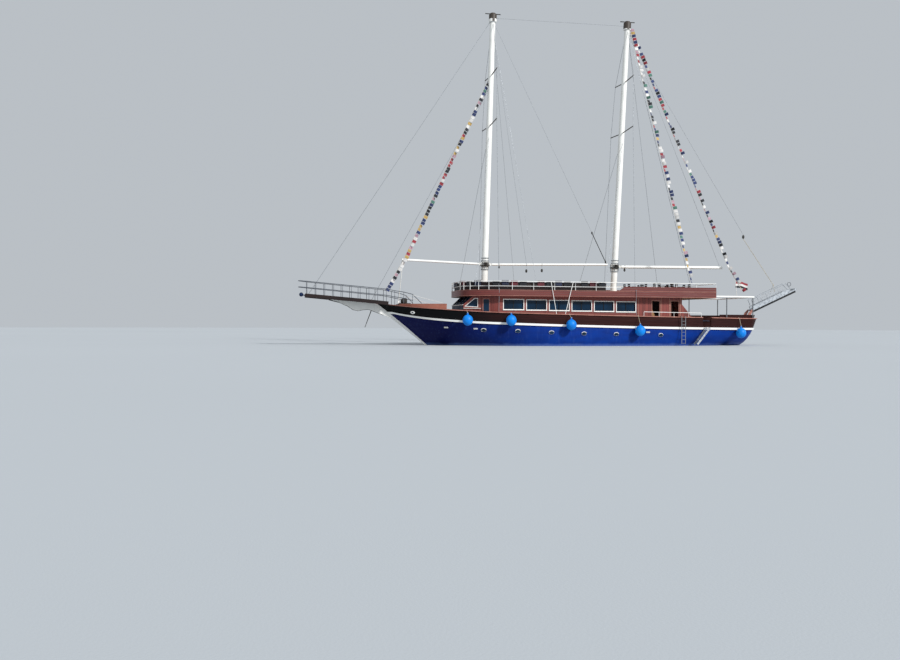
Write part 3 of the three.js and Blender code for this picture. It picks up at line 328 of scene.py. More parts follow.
@dataclass(frozen=True)
class Topsides(Finish):
    """Hull enamel over planks, darker towards the bow as painted shade, a salt line, and red bottom paint
    below water.
    """

    colour: str = "#04348a"
    # Dark blue of the painted shade towards the bow; the clouds also mix towards it, as random tone.
    bow: str = "#020a44"
    salt: str = "#5f7cb8"
    bottom: str = "#6a2420"
    turn: Pair = (3.0, 11.0)
    board: float = 0.16

    def paint(self, tree: Tree, place: Source) -> dict[str, Source]:
        """The blue and its painted shade towards the bow, planks, the salt line and the bottom paint.

        Args:
            tree: The material's nodes.
            place: The coordinates that it reads.

        Returns:
            What feeds each of the shader's inputs.
        """
        parts = add(tree, "SeparateXYZ", {0: place})
        # Painted shade: the blue darkens towards the bow, where the hull turns away from the sun.
        blue = self.blend(tree, self.towards(tree, place, *self.turn), self.colour, self.bow)
        clouds = self.cloudy(tree, place, (1.2, 1.2, 0.35))
        faint = add(tree, "Math", {0: clouds, 1: 0.3}, operation="MULTIPLY")
        blue = self.blend(tree, faint, blue, self.bow)
        streaks = self.cloudy(tree, place, (0.12, 0.12, 1.1), 0.55, 0.8)
        wave = self.cloudy(tree, place, (0.7, 0.7, 5.0), 0.3, 0.7)
        height = add(tree, "Math", {0: wave, 1: -0.1, 2: parts.outputs["Z"]}, operation="MULTIPLY_ADD")
        line = add(tree, "MapRange", {0: height, 1: 0.02, 2: 0.16, 3: 0.45, 4: 0.0})
        share = add(tree, "Math", {0: streaks, 1: 0.1, 2: line}, operation="MULTIPLY_ADD")
        topside = self.blend(tree, share, blue, self.salt)
        under = add(tree, "MapRange", {0: parts.outputs["Z"], 1: -0.1, 2: -0.08, 3: 1.0, 4: 0.0})
        seam = self.seams(tree, parts.outputs["Z"], self.board, 0.01)
        return {
            "Base Color": self.blend(tree, under, topside, self.bottom),
            "Normal": self.dented(tree, seam, 0.004, 0.5),
            "Roughness": self.worn(tree, clouds, 0.06, 0.14),
        }


@dataclass(frozen=True)
class Spar(Finish):
    """White spar enamel, with bare steel far out from the middle, below one height and above another."""

    colour: str = "#f4f3ee"
    shadow: str = "#cfcdc6"
    steel: str = "#443b33"
    reach: float = 0.27
    foot: float = -9.0
    head: float = 24.2

    def paint(self, tree: Tree, place: Source) -> dict[str, Source]:
        """Enamel with rings of wear, and the dark arms.

        Args:
            tree: The material's nodes.
            place: The coordinates that it reads.

        Returns:
            What feeds each of the shader's inputs.
        """
        clouds = self.cloudy(tree, place, (0.3, 0.3, 0.8))
        faint = add(tree, "Math", {0: clouds, 1: 0.35}, operation="MULTIPLY")
        white = self.blend(tree, faint, self.colour, self.shadow)
        parts = add(tree, "SeparateXYZ", {0: place})
        far = add(tree, "Math", {0: parts.outputs["Y"]}, operation="ABSOLUTE")
        arm = add(tree, "Math", {0: far, 1: self.reach}, operation="GREATER_THAN")
        for limit, sort in ((self.foot, "LESS_THAN"), (self.head, "GREATER_THAN")):
            bare = add(tree, "Math", {0: parts.outputs["Z"], 1: limit}, operation=sort)
            arm = add(tree, "Math", {0: arm, 1: bare}, operation="MAXIMUM")
        return {
            "Base Color": self.blend(tree, arm, white, self.steel),
            "Normal": self.dented(tree, clouds, 0.002, 0.3),
            "Roughness": self.worn(tree, clouds, 0.0, 0.15),
        }


@dataclass(frozen=True)
class Plain(Finish):
    """A surface of one stuff, such as steel, rubber or vinyl, with clouds of wear and a fine relief."""

    colour: str = "#9a9da0"
    shadow: str = "#6d7073"
    patch: float = 0.25
    relief: float = 0.02
    depth: float = 0.001

    def paint(self, tree: Tree, place: Source) -> dict[str, Source]:
        """Clouds in colour and gloss, and the relief.

        Args:
            tree: The material's nodes.
            place: The coordinates that it reads.

        Returns:
            What feeds each of the shader's inputs.
        """
        clouds = self.cloudy(tree, place, (self.patch,) * 3, 0.3, 0.7)
        fine = self.cloudy(tree, place, (self.relief,) * 3, 0.3, 0.7)
        return {
            "Base Color": self.blend(tree, clouds, self.colour, self.shadow),
            "Normal": self.dented(tree, fine, self.depth, 0.5),
            "Roughness": self.worn(tree, clouds),
        }


@dataclass(frozen=True)
class Woven(Finish):
    """Cloth with its two sets of threads, drawn coarser than real so that they show."""

    colour: str = "#222a44"
    shadow: str = "#11162a"
    thread: float = 0.02

    def paint(self, tree: Tree, place: Source) -> dict[str, Source]:
        """Threads both ways, and fading.

        Args:
            tree: The material's nodes.
            place: The coordinates that it reads.

        Returns:
            What feeds each of the shader's inputs.
        """
        parts = add(tree, "SeparateXYZ", {0: place})
        spun = add(tree, "Math", {0: parts.outputs["Y"], 1: parts.outputs["Z"]}, operation="ADD")
        rows = [self.seams(tree, way, self.thread, self.thread / 3) for way in (parts, spun)]
        weave = add(tree, "Math", {0: rows[0], 1: rows[1]}, operation="MAXIMUM")
        clouds = self.cloudy(tree, place, (0.3, 0.3, 0.3))
        share = add(tree, "Math", {0: weave, 1: 0.25, 2: clouds}, operation="MULTIPLY_ADD")
        return {
            "Base Color": self.blend(tree, share, self.colour, self.shadow),
            "Normal": self.dented(tree, weave, 0.002, 0.4),
        }


# Marine alkyd enamel brushed over pine planks: glossy and even, with a salt line at the water. Its blue
# darkens towards the bow as painted shade.
HULL_ENAMEL = Topsides("hull_enamel", roughness=0.45, specular=0.12)
# Copper bottom paint, rolled on: matt, chalky and blotched.
BOTTOM_PAINT = Plain("bottom_paint", roughness=0.8, colour="#6a2420", shadow="#4a1a18", patch=0.6)
# White alkyd enamel on timber: slightly chalky gloss with rain streaks.
WHITE_ENAMEL = Gloss("white_enamel", roughness=0.38)
# The same enamel on the masts, whose arms are galvanised steel.
SPAR_ENAMEL = Spar("spar_enamel", roughness=0.38)
# The awning's beams are enamelled, and its posts are dull galvanised tube.
AWNING_ENAMEL = Spar("awning_enamel", roughness=0.4, steel="#6b6f73", reach=9.0, foot=3.6)
# Oiled iroko bulwark planks, almost black, with reddish grain: matt with a dull shine. Towards the bow they
# turn near black, the bow platform with them: painted shade of the flared bow.
BULWARK_PLANKS = Boards(
    "bulwark_planks",
    roughness=0.58,
    specular=0.12,
    light="#3c1713",
    dark="#1c0b0b",
    seam="#060303",
    board=0.17,
    gap=0.014,
    # Painted shade at the bow.
    fore="#05080a",
)
# Mahogany cap rail whose varnish the sun has bleached: a lit, pinkish-brown edge.
CAP_VARNISH = Boards(
    "cap_varnish", roughness=0.45, coat=0.15, light="#b98272", dark="#8c5142", board=0.5, across=Axis.ALONG
)
# Varnished mahogany boards of the house: warm red-brown, a soft shine, dark seams.
HOUSE_VARNISH = Boards(
    "house_varnish",
    roughness=0.45,
    specular=0.4,
    coat=0.1,
    light="#9a4a40",
    dark="#6d2f2a",
    seam="#301412",
    board=0.15,
)
# The fascia's boards, which the sun has not bleached as much.
FASCIA_VARNISH = replace(
    HOUSE_VARNISH,
    name="fascia_varnish",
    specular=0.35,
    light="#7b3a34",
    dark="#532422",
    seam="#29110f",
    board=0.14,
)
# The same boards upright, on the wheelhouse and the bulkhead.
UPRIGHT_VARNISH = replace(
    HOUSE_VARNISH,
    name="upright_varnish",
    light="#94473e",
    dark="#5f2824",
    seam="#26100d",
    board=0.24,
    across=Axis.ALONG,
    grain=(0.05, 0.05, 1.4),
)
# Teak deck with black caulking. Its planks are drawn 150 mm wide, twice the real ones, so they show.
TEAK_DECK = Boards(
    "teak_deck",
    roughness=0.7,
    light="#b98d5c",
    dark="#8f673f",
    seam="#2b2018",
    board=0.15,
    gap=0.01,
    across=Axis.ACROSS,
)
# Terracotta deck paint with sand in it: matt and faded.
DECK_PAINT = Plain("deck_paint", roughness=0.75, colour="#b3705c", shadow="#915848", patch=0.5, depth=0.002)
# Tinted safety glass: dark teal with a sharp reflection.
TINTED_GLASS = Plain(
    "tinted_glass", roughness=0.1, specular=0.25, colour="#0c3350", shadow="#061c2e", patch=1.2, depth=0.0002
)
# Polished stainless tube: bright with soft handling marks.
STAINLESS = Plain("stainless", roughness=0.28, metallic=1.0, colour="#c7cacd", shadow="#9da1a5")
# Galvanised rail pipe, painted grey: dull and dark against the sky.
RAIL_PAINT = Plain("rail_paint", roughness=0.45, colour="#5b6068", shadow="#3c4047")
# Galvanised wire rope: dull grey with dark lay marks.
WIRE_ROPE = Plain("wire_rope", roughness=0.5, metallic=0.4, colour="#a5a9ad", shadow="#74787c", patch=0.08)
# Cast bronze: brown-gold with green-brown tarnish.
BRONZE = Plain("bronze", roughness=0.4, metallic=1.0, colour="#b0803f", shadow="#6e5a34")
# Inflated PVC: azure, smooth and slightly waxy.
BUOY_VINYL = Plain("buoy_vinyl", roughness=0.4, specular=0.25, colour="#0a8aea", shadow="#0575d2", patch=0.4)
# Neoprene gaskets and rubbing strips: black and matt.
RUBBER = Plain("rubber", roughness=0.75, colour="#15171b", shadow="#0b0c0f", patch=0.1, relief=0.01)
# Marine enamel, deep navy. On the wheelhouse front the navy is painted shade, the shade of the roof; on the
# tip ball it is the ball's own colour.
NAVY_ENAMEL_AND_SHADE = Gloss("navy_enamel_and_shade", roughness=0.45, specular=0.15, colour="#10264a", shadow="#0a1a34")
# Aluminium extrusions left bare outdoors: grey, dull and chalky.
WEATHERED_ALUMINIUM = Plain(
    "weathered_aluminium", roughness=0.5, metallic=0.7, colour="#c3c8cd", shadow="#83898f", patch=0.12
)
# Iroko slats, stained black and oiled: seat backs and chairs. On the pantry in the saloon their black is
# painted shade behind the doorways.
BLACK_SLATS = Boards(
    "black_slats", roughness=0.6, specular=0.3, light="#2b1a18", dark="#120b0c", seam="#040303", board=0.09
)
# Forged iron fittings, tarred: near black.
TARRED_IRON = Plain("tarred_iron", roughness=0.6, colour="#2a2823", shadow="#14130f", patch=0.15)
# Three-strand polyester rope: off-white and fuzzy.
ROPE = Plain(
    "rope", roughness=0.85, colour="#cfc7b4", shadow="#a39a85", patch=0.05, relief=0.012, depth=0.003
)
# Braided polyester, bleached white by the sun.
BLEACHED_ROPE = replace(ROPE, name="bleached_rope", colour="#f1efe9", shadow="#cfccc3")
# Acrylic canvas on cushions: navy with soft fading. Threads are drawn 20 mm apart so that they show.
CUSHION_CANVAS = Woven("cushion_canvas", roughness=0.85, sheen=0.3, colour="#1c2644", shadow="#0c1124")
# The same canvas in black and in wine red.
BLACK_CANVAS = Woven("black_canvas", roughness=0.85, sheen=0.2, colour="#1b1d24", shadow="#0b0c11")
WINE_CANVAS = replace(BLACK_CANVAS, name="wine_canvas", colour="#6e2630", shadow="#44161d")
# Leatherette on the saloon seats: wine red with a dull shine.
LEATHERETTE = Plain("leatherette", roughness=0.5, colour="#7c2226", shadow="#5a171a", relief=0.006)
# Bunting and ensign cloth: thin woven polyester in flat dyes.
FLAG_CLOTHS = [
    Woven(f"flag_{name}", roughness=0.8, sheen=0.2, colour=colour, shadow=shadow)
    for name, colour, shadow in (
        ("red", "#a83440", "#862630"),
        ("white", "#e9e6e2", "#c9c6c2"),
        ("blue", "#2c3e72", "#1d2a52"),
        ("black", "#24262e", "#14151b"),
        ("yellow", "#c9a968", "#a98a4c"),
        ("green", "#4d7a6c", "#386055"),
        ("pink", "#bb98a2", "#9c7c88"),
    )
]


def both(piece: str) -> tuple[str, ...]:
    """The names of a piece on both sides."""
    return tuple(side.named(piece) for side in Side)


# Finish of each CAD node.
NODE_FINISHES: dict[Finish, tuple[str, ...]] = {
    HULL_ENAMEL: ("hull",),
    BOTTOM_PAINT: ("keel", "rudder"),
    BRONZE: ("propeller",),
    WHITE_ENAMEL: ("rub_rail", "stem_knee", "fore_boom", "middle_boom", "main_boom", "upper_rails"),
    AWNING_ENAMEL: ("awning_frame",),
    SPAR_ENAMEL: ("foremast", "mainmast"),
    BULWARK_PLANKS: ("bulwark", "bow_platform", "stern_bench"),
    CAP_VARNISH: ("cap_rail_fore", "cap_rail_aft"),
    TEAK_DECK: ("main_deck", "upper_deck", "stair", "helm_wheel"),
    DECK_PAINT: ("foredeck",),
    RAIL_PAINT: ("bow_rails",),
    TARRED_IRON: ("windlass",),
    STAINLESS: ("swim_ladder",),
    WEATHERED_ALUMINIUM: ("gangway", "boarding_ladder"),
    # The wheelhouse front's navy is painted shade.
    NAVY_ENAMEL_AND_SHADE: ("wheelhouse_front",),
    BLACK_SLATS: ("upper_benches",),
    HOUSE_VARNISH: (*both("saloon_side"), "helm_console"),
    FASCIA_VARNISH: ("fascia",),
    UPRIGHT_VARNISH: (
        *both("wheelhouse_side"), "aft_bulkhead", *both("wheelhouse_door"), *both("entry_side")
    ),
    TINTED_GLASS: (*both("saloon_glass"), "wheelhouse_glass"),
    LEATHERETTE: ("saloon_seats",),
    WIRE_ROPE: (
        *both("fore_shroud"), *both("main_shroud"), *both("backstay"), "inner_stay", "forestay",
        "triatic_stay"
    ),
    BUOY_VINYL: tuple(f"fender_{number}" for number in range(1, 6)),
}  # fmt: skip


def dress_nodes() -> None:
    """Give each CAD node its finish."""
    for finish, names in NODE_FINISHES.items():
        for name in names:
            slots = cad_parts[name].data.materials
            slots.clear()
            slots.append(finish.build())


# Curved CAD nodes, with the angle in degrees from which an edge stays an edge.
CURVED_NODES: dict[str, float] = {
    "hull": 30, "rub_rail": 30, "bulwark": 30, "cap_rail_fore": 30, "cap_rail_aft": 30, "foredeck": 30,
    "fascia": 40, "upper_benches": 40, "stern_bench": 35, "foremast": 35, "mainmast": 35, "fore_boom": 35,
    "middle_boom": 35, "main_boom": 35, "bow_rails": 62, "upper_rails": 75, "awning_frame": 50,
    "windlass": 35, "stem_knee": 35, "propeller": 35, "rudder": 35, "helm_wheel": 50, "swim_ladder": 62,
}  # fmt: skip


def round_off() -> None:
    """Shade the curved CAD nodes as curved. No point of them moves."""
    for name, angle in CURVED_NODES.items():
        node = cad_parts[name]
        node.data.polygons.foreach_set("use_smooth", [True] * len(node.data.polygons))
        node.modifiers.new("weld", "WELD").merge_threshold = WELD
        split = node.modifiers.new("edges", "EDGE_SPLIT")
        split.split_angle = radians(angle)


# A distance beyond the boat's sides and decks, from which lines are sent towards it.
BEYOND = 6.0
# Height in the bulwark amidships and its rise per metre towards the bow, for finding its outer face.
SHEER_HEIGHT = 1.85
SHEER_RISE = 0.045
# Place of the side gates, where the cap rail is parted, and how far its edge stands out.
GATE = -8.5
CAP_OVERHANG = 0.07


@lru_cache
def skin(node: str) -> BVHTree:
    """The surface of a CAD node, for finding places on it."""
    return BVHTree.FromObject(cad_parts[node], bpy.context.evaluated_depsgraph_get())


def landing(node: str, start: Vector, way: Vector) -> tuple[Vector, Vector]:
    """Where a straight line from a point meets a CAD node.

    Args:
        node: The node's name.
        start: Where the line starts, outside the node.
        way: The line's direction.

    Returns:
        The place and the surface's outward direction there.
    """
    place, normal, _, _ = skin(node).ray_cast(start, way)
    if place is None:
        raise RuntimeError(f"the line from {tuple(start)} doesn't meet {node}")
    return place, normal


def outer_face(node: str, side: Side, x: float, z: float) -> tuple[Vector, Vector]:
    """The place on a node's outer face that is level with a point, and its outward direction."""
    return landing(node, side.at(x, BEYOND, z), side.at(0, -1, 0))


def top_face(node: str, above: Vector) -> Vector:
    """The place on a node below a point."""
    return landing(node, above, DOWN)[0]


def cap_edge(x: float, side: Side) -> Vector:
    """Outer edge of the cap rail's top at a place along the boat.

    Args:
        x: The place along the boat.
        side: The side of the boat.

    Returns:
        The point on the edge.
    """
    low = SHEER_HEIGHT + SHEER_RISE * max(0.0, x)
    wall, _ = outer_face("bulwark", side, x, low)
    node = "cap_rail_fore" if x > GATE else "cap_rail_aft"
    top = top_face(node, Vector((x, wall.y, BEYOND)))
    return Vector((x, wall.y + CAP_OVERHANG * side.value, top.z))


@dataclass(frozen=True)
class RoofPlan:
    """Outline of the upper deck, with its rounded front."""

    half: float = 3.25
    aft: float = -9.25
    bend: float = 6.5
    grip: Pair = (8.3, 9.9)
    front: Pair = (9.95, 1.5)
    shoulder: float = 2.7

    def port(self, inset: float) -> list[Vector]:
        """Its port half, from the aft corner to the front, set in by a distance.

        Args:
            inset: The distance, which is outwards below 0.

        Returns:
            The corners in order.
        """
        half = self.half - inset
        knots = (
            Vector((self.bend, half, 0)),
            Vector((self.grip[0], half, 0)),
            Vector((self.grip[1] - inset, self.shoulder - inset, 0)),
            Vector((self.front[0] - inset, self.front[1] - inset, 0)),
        )
        return [Vector((self.aft + inset, half, 0)), *interpolate_bezier(*knots, 7)]

    def round_front(self, inset: float, start: float) -> list[Vector]:
        """From a place along the port side, round the front, to the same place to starboard."""
        port = [Vector((start, self.half - inset, 0)), *self.port(inset)[1:]]
        return port + [Vector((p.x, -p.y, 0)) for p in reversed(port)]


ROOF = RoofPlan()


def spaced(path: Sequence[Vector], pitch: float) -> list[tuple[Vector, Vector]]:
    """Places at an even pitch along a path.

    Args:
        path: The path's corners.
        pitch: About how far the places are apart.

    Returns:
        Each place, with the path's direction there.
    """
    total = sum((b - a).length for a, b in zip(path, path[1:]))
    count = max(1, round(total / pitch))
    found: list[tuple[Vector, Vector]] = []
    gone, wanted = 0.0, total / count / 2
    for start, end in zip(path, path[1:]):
        long = (end - start).length
        while wanted <= gone + long + HAIR and len(found) < count:
            found.append((start.lerp(end, (wanted - gone) / long), (end - start).normalized()))
            wanted += total / count
        gone += long
    return found


def around(radius: float, degrees: Iterable[float]) -> list[Pair]:
    """Points on a circle at angles in degrees."""
    return [(radius * cos(radians(angle)), radius * sin(radians(angle))) for angle in degrees]


def oblong(left: float, low: float, right: float, high: float) -> list[Pair]:
    """The corners of an upright rectangle."""
    return [(left, low), (right, low), (right, high), (left, high)]


def tipped(place: Point, axis: str = "X", degrees: float = 90.0) -> Matrix:
    """A matrix at a place, turned about one axis."""
    return Matrix.Translation(place) @ Matrix.Rotation(radians(degrees), 4, axis)


def along(start: Point, end: Point) -> Matrix:
    """A matrix in the middle between two points, with Z from the first to the second."""
    a, b = Vector(start), Vector(end)
    return Matrix.Translation((a + b) / 2) @ (b - a).to_track_quat("Z", "Y").to_matrix().to_4x4()


def ease(mesh: bmesh.types.BMesh, edges: Sequence[bmesh.types.BMEdge], width: float, steps: int) -> None:
    """Round edges off."""
    bmesh.ops.bevel(
        mesh, geom=edges, offset=width, segments=steps, profile=0.5, affect="EDGES", material=-1
    )


def mesh_of(name: str, part: bmesh.types.BMesh) -> bpy.types.Mesh:
    """Turn a mesh in the making into a mesh.

    Args:
        name: Its name.
        part: The mesh in the making, which is freed.

    Returns:
        The mesh.
    """
    data = bpy.data.meshes.new(name)
    part.to_mesh(data)
    part.free()
    return data


def placed(name: str, data: bpy.types.ID) -> bpy.types.Object:
    """A new object in the scene, at the origin.

    Args:
        name: Its name.
        data: Its mesh, light or camera.

    Returns:
        The object.
    """
    made = bpy.data.objects.new(name, data)
    bpy.context.scene.collection.objects.link(made)
    return made


class Shape:
    """A mesh in the making. New faces take the current finish."""

    def __init__(self) -> None:
        """Start with no faces."""
        self.mesh = bmesh.new()
        self.settled = self.mesh.faces.layers.int.new("settled")
        self.number = 0

    @property
    def finish(self) -> int:
        """Number of the finish that new faces take."""
        return self.number

    @finish.setter
    def finish(self, number: int) -> None:
        """Change the finish of the faces to come."""
        self.settle()
        self.number = number

    def settle(self) -> None:
        """Give the faces that have no finish yet the current one."""
        for face in self.mesh.faces:
            if not face[self.settled]:
                face[self.settled] = 1
                face.material_index = self.number

    def join(self, part: bmesh.types.BMesh, place: Matrix) -> None:
        """Take over another mesh, moved by a matrix.

        Args:
            part: The other mesh, which is freed.
            place: The matrix.
        """
        bmesh.ops.transform(part, matrix=place, verts=part.verts)
        data = mesh_of("part", part)
        self.mesh.from_mesh(data)
        bpy.data.meshes.remove(data)

    def box(
        self, low: Point, high: Point, bevel: float = 0.0, turn: Matrix | None = None, steps: int = 2
    ) -> None:
        """A box with eased edges.

        Args:
            low: Its lowest corner.
            high: Its highest corner.
            bevel: Width of the eased edge.
            turn: A matrix that moves the box once it is made.
            steps: Number of faces across the eased edge.
        """
        a, b = Vector(low), Vector(high)
        place = Matrix.Translation((a + b) / 2) @ Matrix.Diagonal((*(b - a), 1))
        made = bmesh.ops.create_cube(self.mesh, size=1, matrix=place)["verts"]
        if turn is not None:
            bmesh.ops.transform(self.mesh, matrix=turn, verts=made)
        if bevel:
            ease(self.mesh, list({edge for vert in made for edge in vert.link_edges}), bevel, steps)

    def bar(self, start: Point, end: Point, wide: float, tall: float, bevel: float = 0.0) -> None:
        """A rectangular bar from a point to a point, as upright as it can be.

        Args:
            start: Where it starts.
            end: Where it ends.
            wide: Its width.
            tall: Its height.
            bevel: Width of its eased edges.
        """
        a, b = Vector(start), Vector(end)
        ahead = (b - a).normalized()
        up = UP if abs(ahead.z) < 0.99 else Vector((1, 0, 0))
        across = up.cross(ahead).normalized()
        turn = Matrix((ahead, across, ahead.cross(across))).transposed().to_4x4()
        half = Vector(((b - a).length, wide, tall)) / 2
        self.box(-half, half, bevel, Matrix.Translation((a + b) / 2) @ turn, 1)

    def rod(self, points: Iterable[Point], radius: float, sides: int = 8, tip: float | None = None) -> None:
        """A round bar along points, with a ball at each bend.

        Args:
            points: The points in order.
            radius: Its radius.
            sides: Number of faces round it.
            tip: Radius at its far end, where it tapers.
        """
        chain = [Vector(p) for p in points]
        for start, end in zip(chain, chain[1:]):
            bmesh.ops.create_cone(
                self.mesh,
                cap_ends=True,
                segments=sides,
                radius1=radius,
                radius2=radius if tip is None else tip,
                depth=(end - start).length,
                matrix=along(start, end),
            )
        for bend in chain[1:-1]:
            place = Matrix.Translation(bend)
            bmesh.ops.create_icosphere(self.mesh, subdivisions=1, radius=radius * 1.02, matrix=place)

    def line(self, start: Point, end: Point, radius: float, steps: int = 14) -> None:
        """A rope cut into short lengths, so that it can bend.

        Args:
            start: Where it starts.
            end: Where it ends.
            radius: Its radius.
            steps: Number of lengths.
        """
        depth = (Vector(end) - Vector(start)).length
        part = bmesh.new()
        bmesh.ops.create_cone(part, cap_ends=True, segments=6, radius1=radius, radius2=radius, depth=depth)
        long = [edge for edge in part.edges if edge.calc_length() > radius * 2.5]
        bmesh.ops.subdivide_edges(part, edges=long, cuts=steps - 1, use_grid_fill=True)
        self.join(part, along(start, end))

    def ball(self, centre: Point, size: Point | float, turn: Matrix | None = None, rings: int = 8) -> None:
        """A ball given its radius, or an egg given its three half sizes.

        Args:
            centre: Its middle.
            size: Its radius or half sizes.
            turn: A matrix that turns it.
            rings: Number of faces from pole to pole.
        """
        half = (size,) * 3 if isinstance(size, float) else size
        matrix = Matrix.Translation(centre) @ (turn or Matrix.Identity(4)) @ Matrix.Diagonal((*half, 1))
        bmesh.ops.create_uvsphere(self.mesh, u_segments=rings * 2, v_segments=rings, radius=1, matrix=matrix)

    def lathe(self, place: Matrix, profile: Sequence[Pair], steps: int = 24) -> None:
        """A turned piece: a profile of radius and height, spun about the matrix's Z axis.

        Args:
            place: The matrix.
            profile: The profile, from one end to the other.
            steps: Number of faces round it.
        """
        part = bmesh.new()
        verts = [part.verts.new((r, 0, z)) for r, z in profile]
        for pair in zip(verts, verts[1:]):
            part.edges.new(pair)
        self.spin(part, place, steps)

    def hoop(self, place: Matrix, radius: float, section: float, steps: int = 20) -> None:
        """A round ring about the Z axis of a matrix, spun from a round section.

        Args:
            place: The matrix.
            radius: Radius of the ring.
            section: Radius of its section.
            steps: Number of faces round it.
        """
        part = bmesh.new()
        bmesh.ops.create_circle(part, segments=8, radius=section, matrix=tipped((radius, 0, 0)))
        self.spin(part, place, steps)

    def spin(self, part: bmesh.types.BMesh, place: Matrix, steps: int) -> None:
        """Spin a section fully about Z, and take over what it makes.

        Args:
            part: The section, which is freed.
            place: The matrix of the axis.
            steps: Number of faces round the axis.
        """
        section = part.verts[:] + part.edges[:]
        full = 2 * pi
        bmesh.ops.spin(
            part, geom=section, cent=(0, 0, 0), axis=(0, 0, 1), angle=full, steps=steps, use_merge=True
        )
        bmesh.ops.remove_doubles(part, verts=part.verts, dist=MERGE)
        self.join(part, place)

    def frame(self, corners: Sequence[Pair], width: float, place: Matrix, thick: float) -> None:
        """A flat frame: a face inset and raised by its thickness.

        Args:
            corners: Corners of the outline in the frame's own plane.
            width: Width of the members.
            place: Turns the plane's X and Y to their place, with Z outwards.
            thick: How far the frame stands out.
        """
        part = bmesh.new()
        face = part.faces.new([part.verts.new((x, y, 0)) for x, y in corners])
        face.normal_update()
        ring = bmesh.ops.inset_region(
            part, faces=[face], thickness=width, use_even_offset=True, use_boundary=True
        )["faces"]
        bmesh.ops.delete(part, geom=[face], context="FACES_ONLY")
        raised = bmesh.ops.extrude_face_region(part, geom=ring)["geom"]
        verts = [item for item in raised if isinstance(item, bmesh.types.BMVert)]
        bmesh.ops.translate(part, vec=(0, 0, thick), verts=verts)
        ease(part, [item for item in raised if isinstance(item, bmesh.types.BMEdge)], thick * 0.25, 1)
        bmesh.ops.recalc_face_normals(part, faces=part.faces)
        self.join(part, place)

    def done(
        self,
        name: str,
        finishes: Sequence[Finish],
        body: str | None = "boat",
        smooth: bool = False,
    ) -> bpy.types.Object:
        """Finish the mesh as an object at the origin that rides on a body.

        Args:
            name: The piece's name.
            finishes: Its finishes, by the number that its faces carry.
            body: The CAD body it moves with, or None for a piece that hangs between two bodies and is
                attached to neither.
            smooth: Whether its faces are shaded as curved, up to the crease angle.

        Returns:
            The object.
        """
        self.settle()
        self.mesh.faces.layers.int.remove(self.settled)
        bmesh.ops.recalc_face_normals(self.mesh, faces=self.mesh.faces)
        for face in self.mesh.faces:
            face.smooth = smooth
        data = mesh_of(name, self.mesh)
        for finish in finishes:
            data.materials.append(finish.build())
        if smooth:
            data.set_sharp_from_angle(angle=radians(CREASE))
        piece = placed(name, data)
        if body:
            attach(piece, body)
        LOG.info("%s: %d faces on %s", name, len(data.polygons), body)
        return piece


def facing(place: Vector, normal: Vector) -> Matrix:
    """A matrix at a place whose Z axis looks out along a surface's normal, with X level.

    Args:
        place: The place.
        normal: The surface's outward direction.

    Returns:
        The matrix.
    """
    out = normal.normalized()
    level = UP.cross(out).normalized()
    turn = Matrix((level, out.cross(level), out)).transposed().to_4x4()
    return Matrix.Translation(place) @ turn


def standing(place: Vector, ahead: Vector) -> Matrix:
    """A matrix at a place with Z up and X along a level direction."""
    return Matrix.Translation(place) @ Matrix.Rotation(atan2(ahead.y, ahead.x), 4, "Z")


@dataclass
class Studio:
    """Camera at the photograph's place, pale floor on the waterline, soft light."""

    place: Triple = (23.71, 65.04, 1.55)
    yaw: float = 11.6
    pitch: float = 0.382
    roll: float = 0.0037
    lens: float = 36.0
    floor: float = 260.0
    sun: float = 3.3
    sun_from: Triple = (-0.5, 0.8, 0.62)
    sun_width: float = 8.0
    sky: float = 0.62
    sky_colour: str = "#e6edf4"

    def build(self) -> None:
        """Set the camera, the floor and the lights."""
        self.aim()
        self.lay_floor()
        self.light()

    def aim(self) -> None:
        """The camera, 65 m off the port side and 1.55 m above the water."""
        yaw, pitch = radians(self.yaw), radians(self.pitch)
        level = Vector((-sin(yaw), -cos(yaw), 0))
        ahead = (level * cos(pitch) + DOWN * sin(pitch)).normalized()
        right = Vector((-cos(yaw), sin(yaw), 0))
        up = right.cross(ahead)
        x_axis = right * cos(self.roll) + up * sin(self.roll)
        y_axis = up * cos(self.roll) - right * sin(self.roll)
        data = bpy.data.cameras.new("camera")
        data.sensor_width = 36.0
        data.lens = self.lens
        data.clip_end = 1000.0
        camera = placed("camera", data)
        turn = Matrix((x_axis, y_axis, -ahead)).transposed().to_4x4()
        camera.matrix_world = Matrix.Translation(self.place) @ turn
        bpy.context.scene.camera = camera

    def lay_floor(self) -> None:
        """A pale round floor at the waterline."""
        mesh = bmesh.new()
        bmesh.ops.create_circle(mesh, cap_ends=True, segments=64, radius=self.floor)
        data = mesh_of("studio_floor", mesh)
        finish = Plain("studio_floor", roughness=0.9, colour="#b9bec2", shadow="#b6bbbf", patch=40.0)
        data.materials.append(finish.build())
        placed("studio_floor", data)

    def light(self) -> None:
        """A soft sky and a broad sun, high on the port quarter."""
        world = bpy.data.worlds.new("studio")
        world.use_nodes = True
        background = world.node_tree.nodes["Background"]
        background.inputs["Color"].default_value = linear(self.sky_colour)
        background.inputs["Strength"].default_value = self.sky
        bpy.context.scene.world = world
        data = bpy.data.lights.new("sun", "SUN")
        data.energy = self.sun
        data.angle = radians(self.sun_width)
        lamp = placed("sun", data)
        lamp.rotation_mode = "QUATERNION"
        lamp.rotation_quaternion = Vector(self.sun_from).to_track_quat("Z", "Y")
        bpy.context.scene.view_settings.view_transform = "Standard"


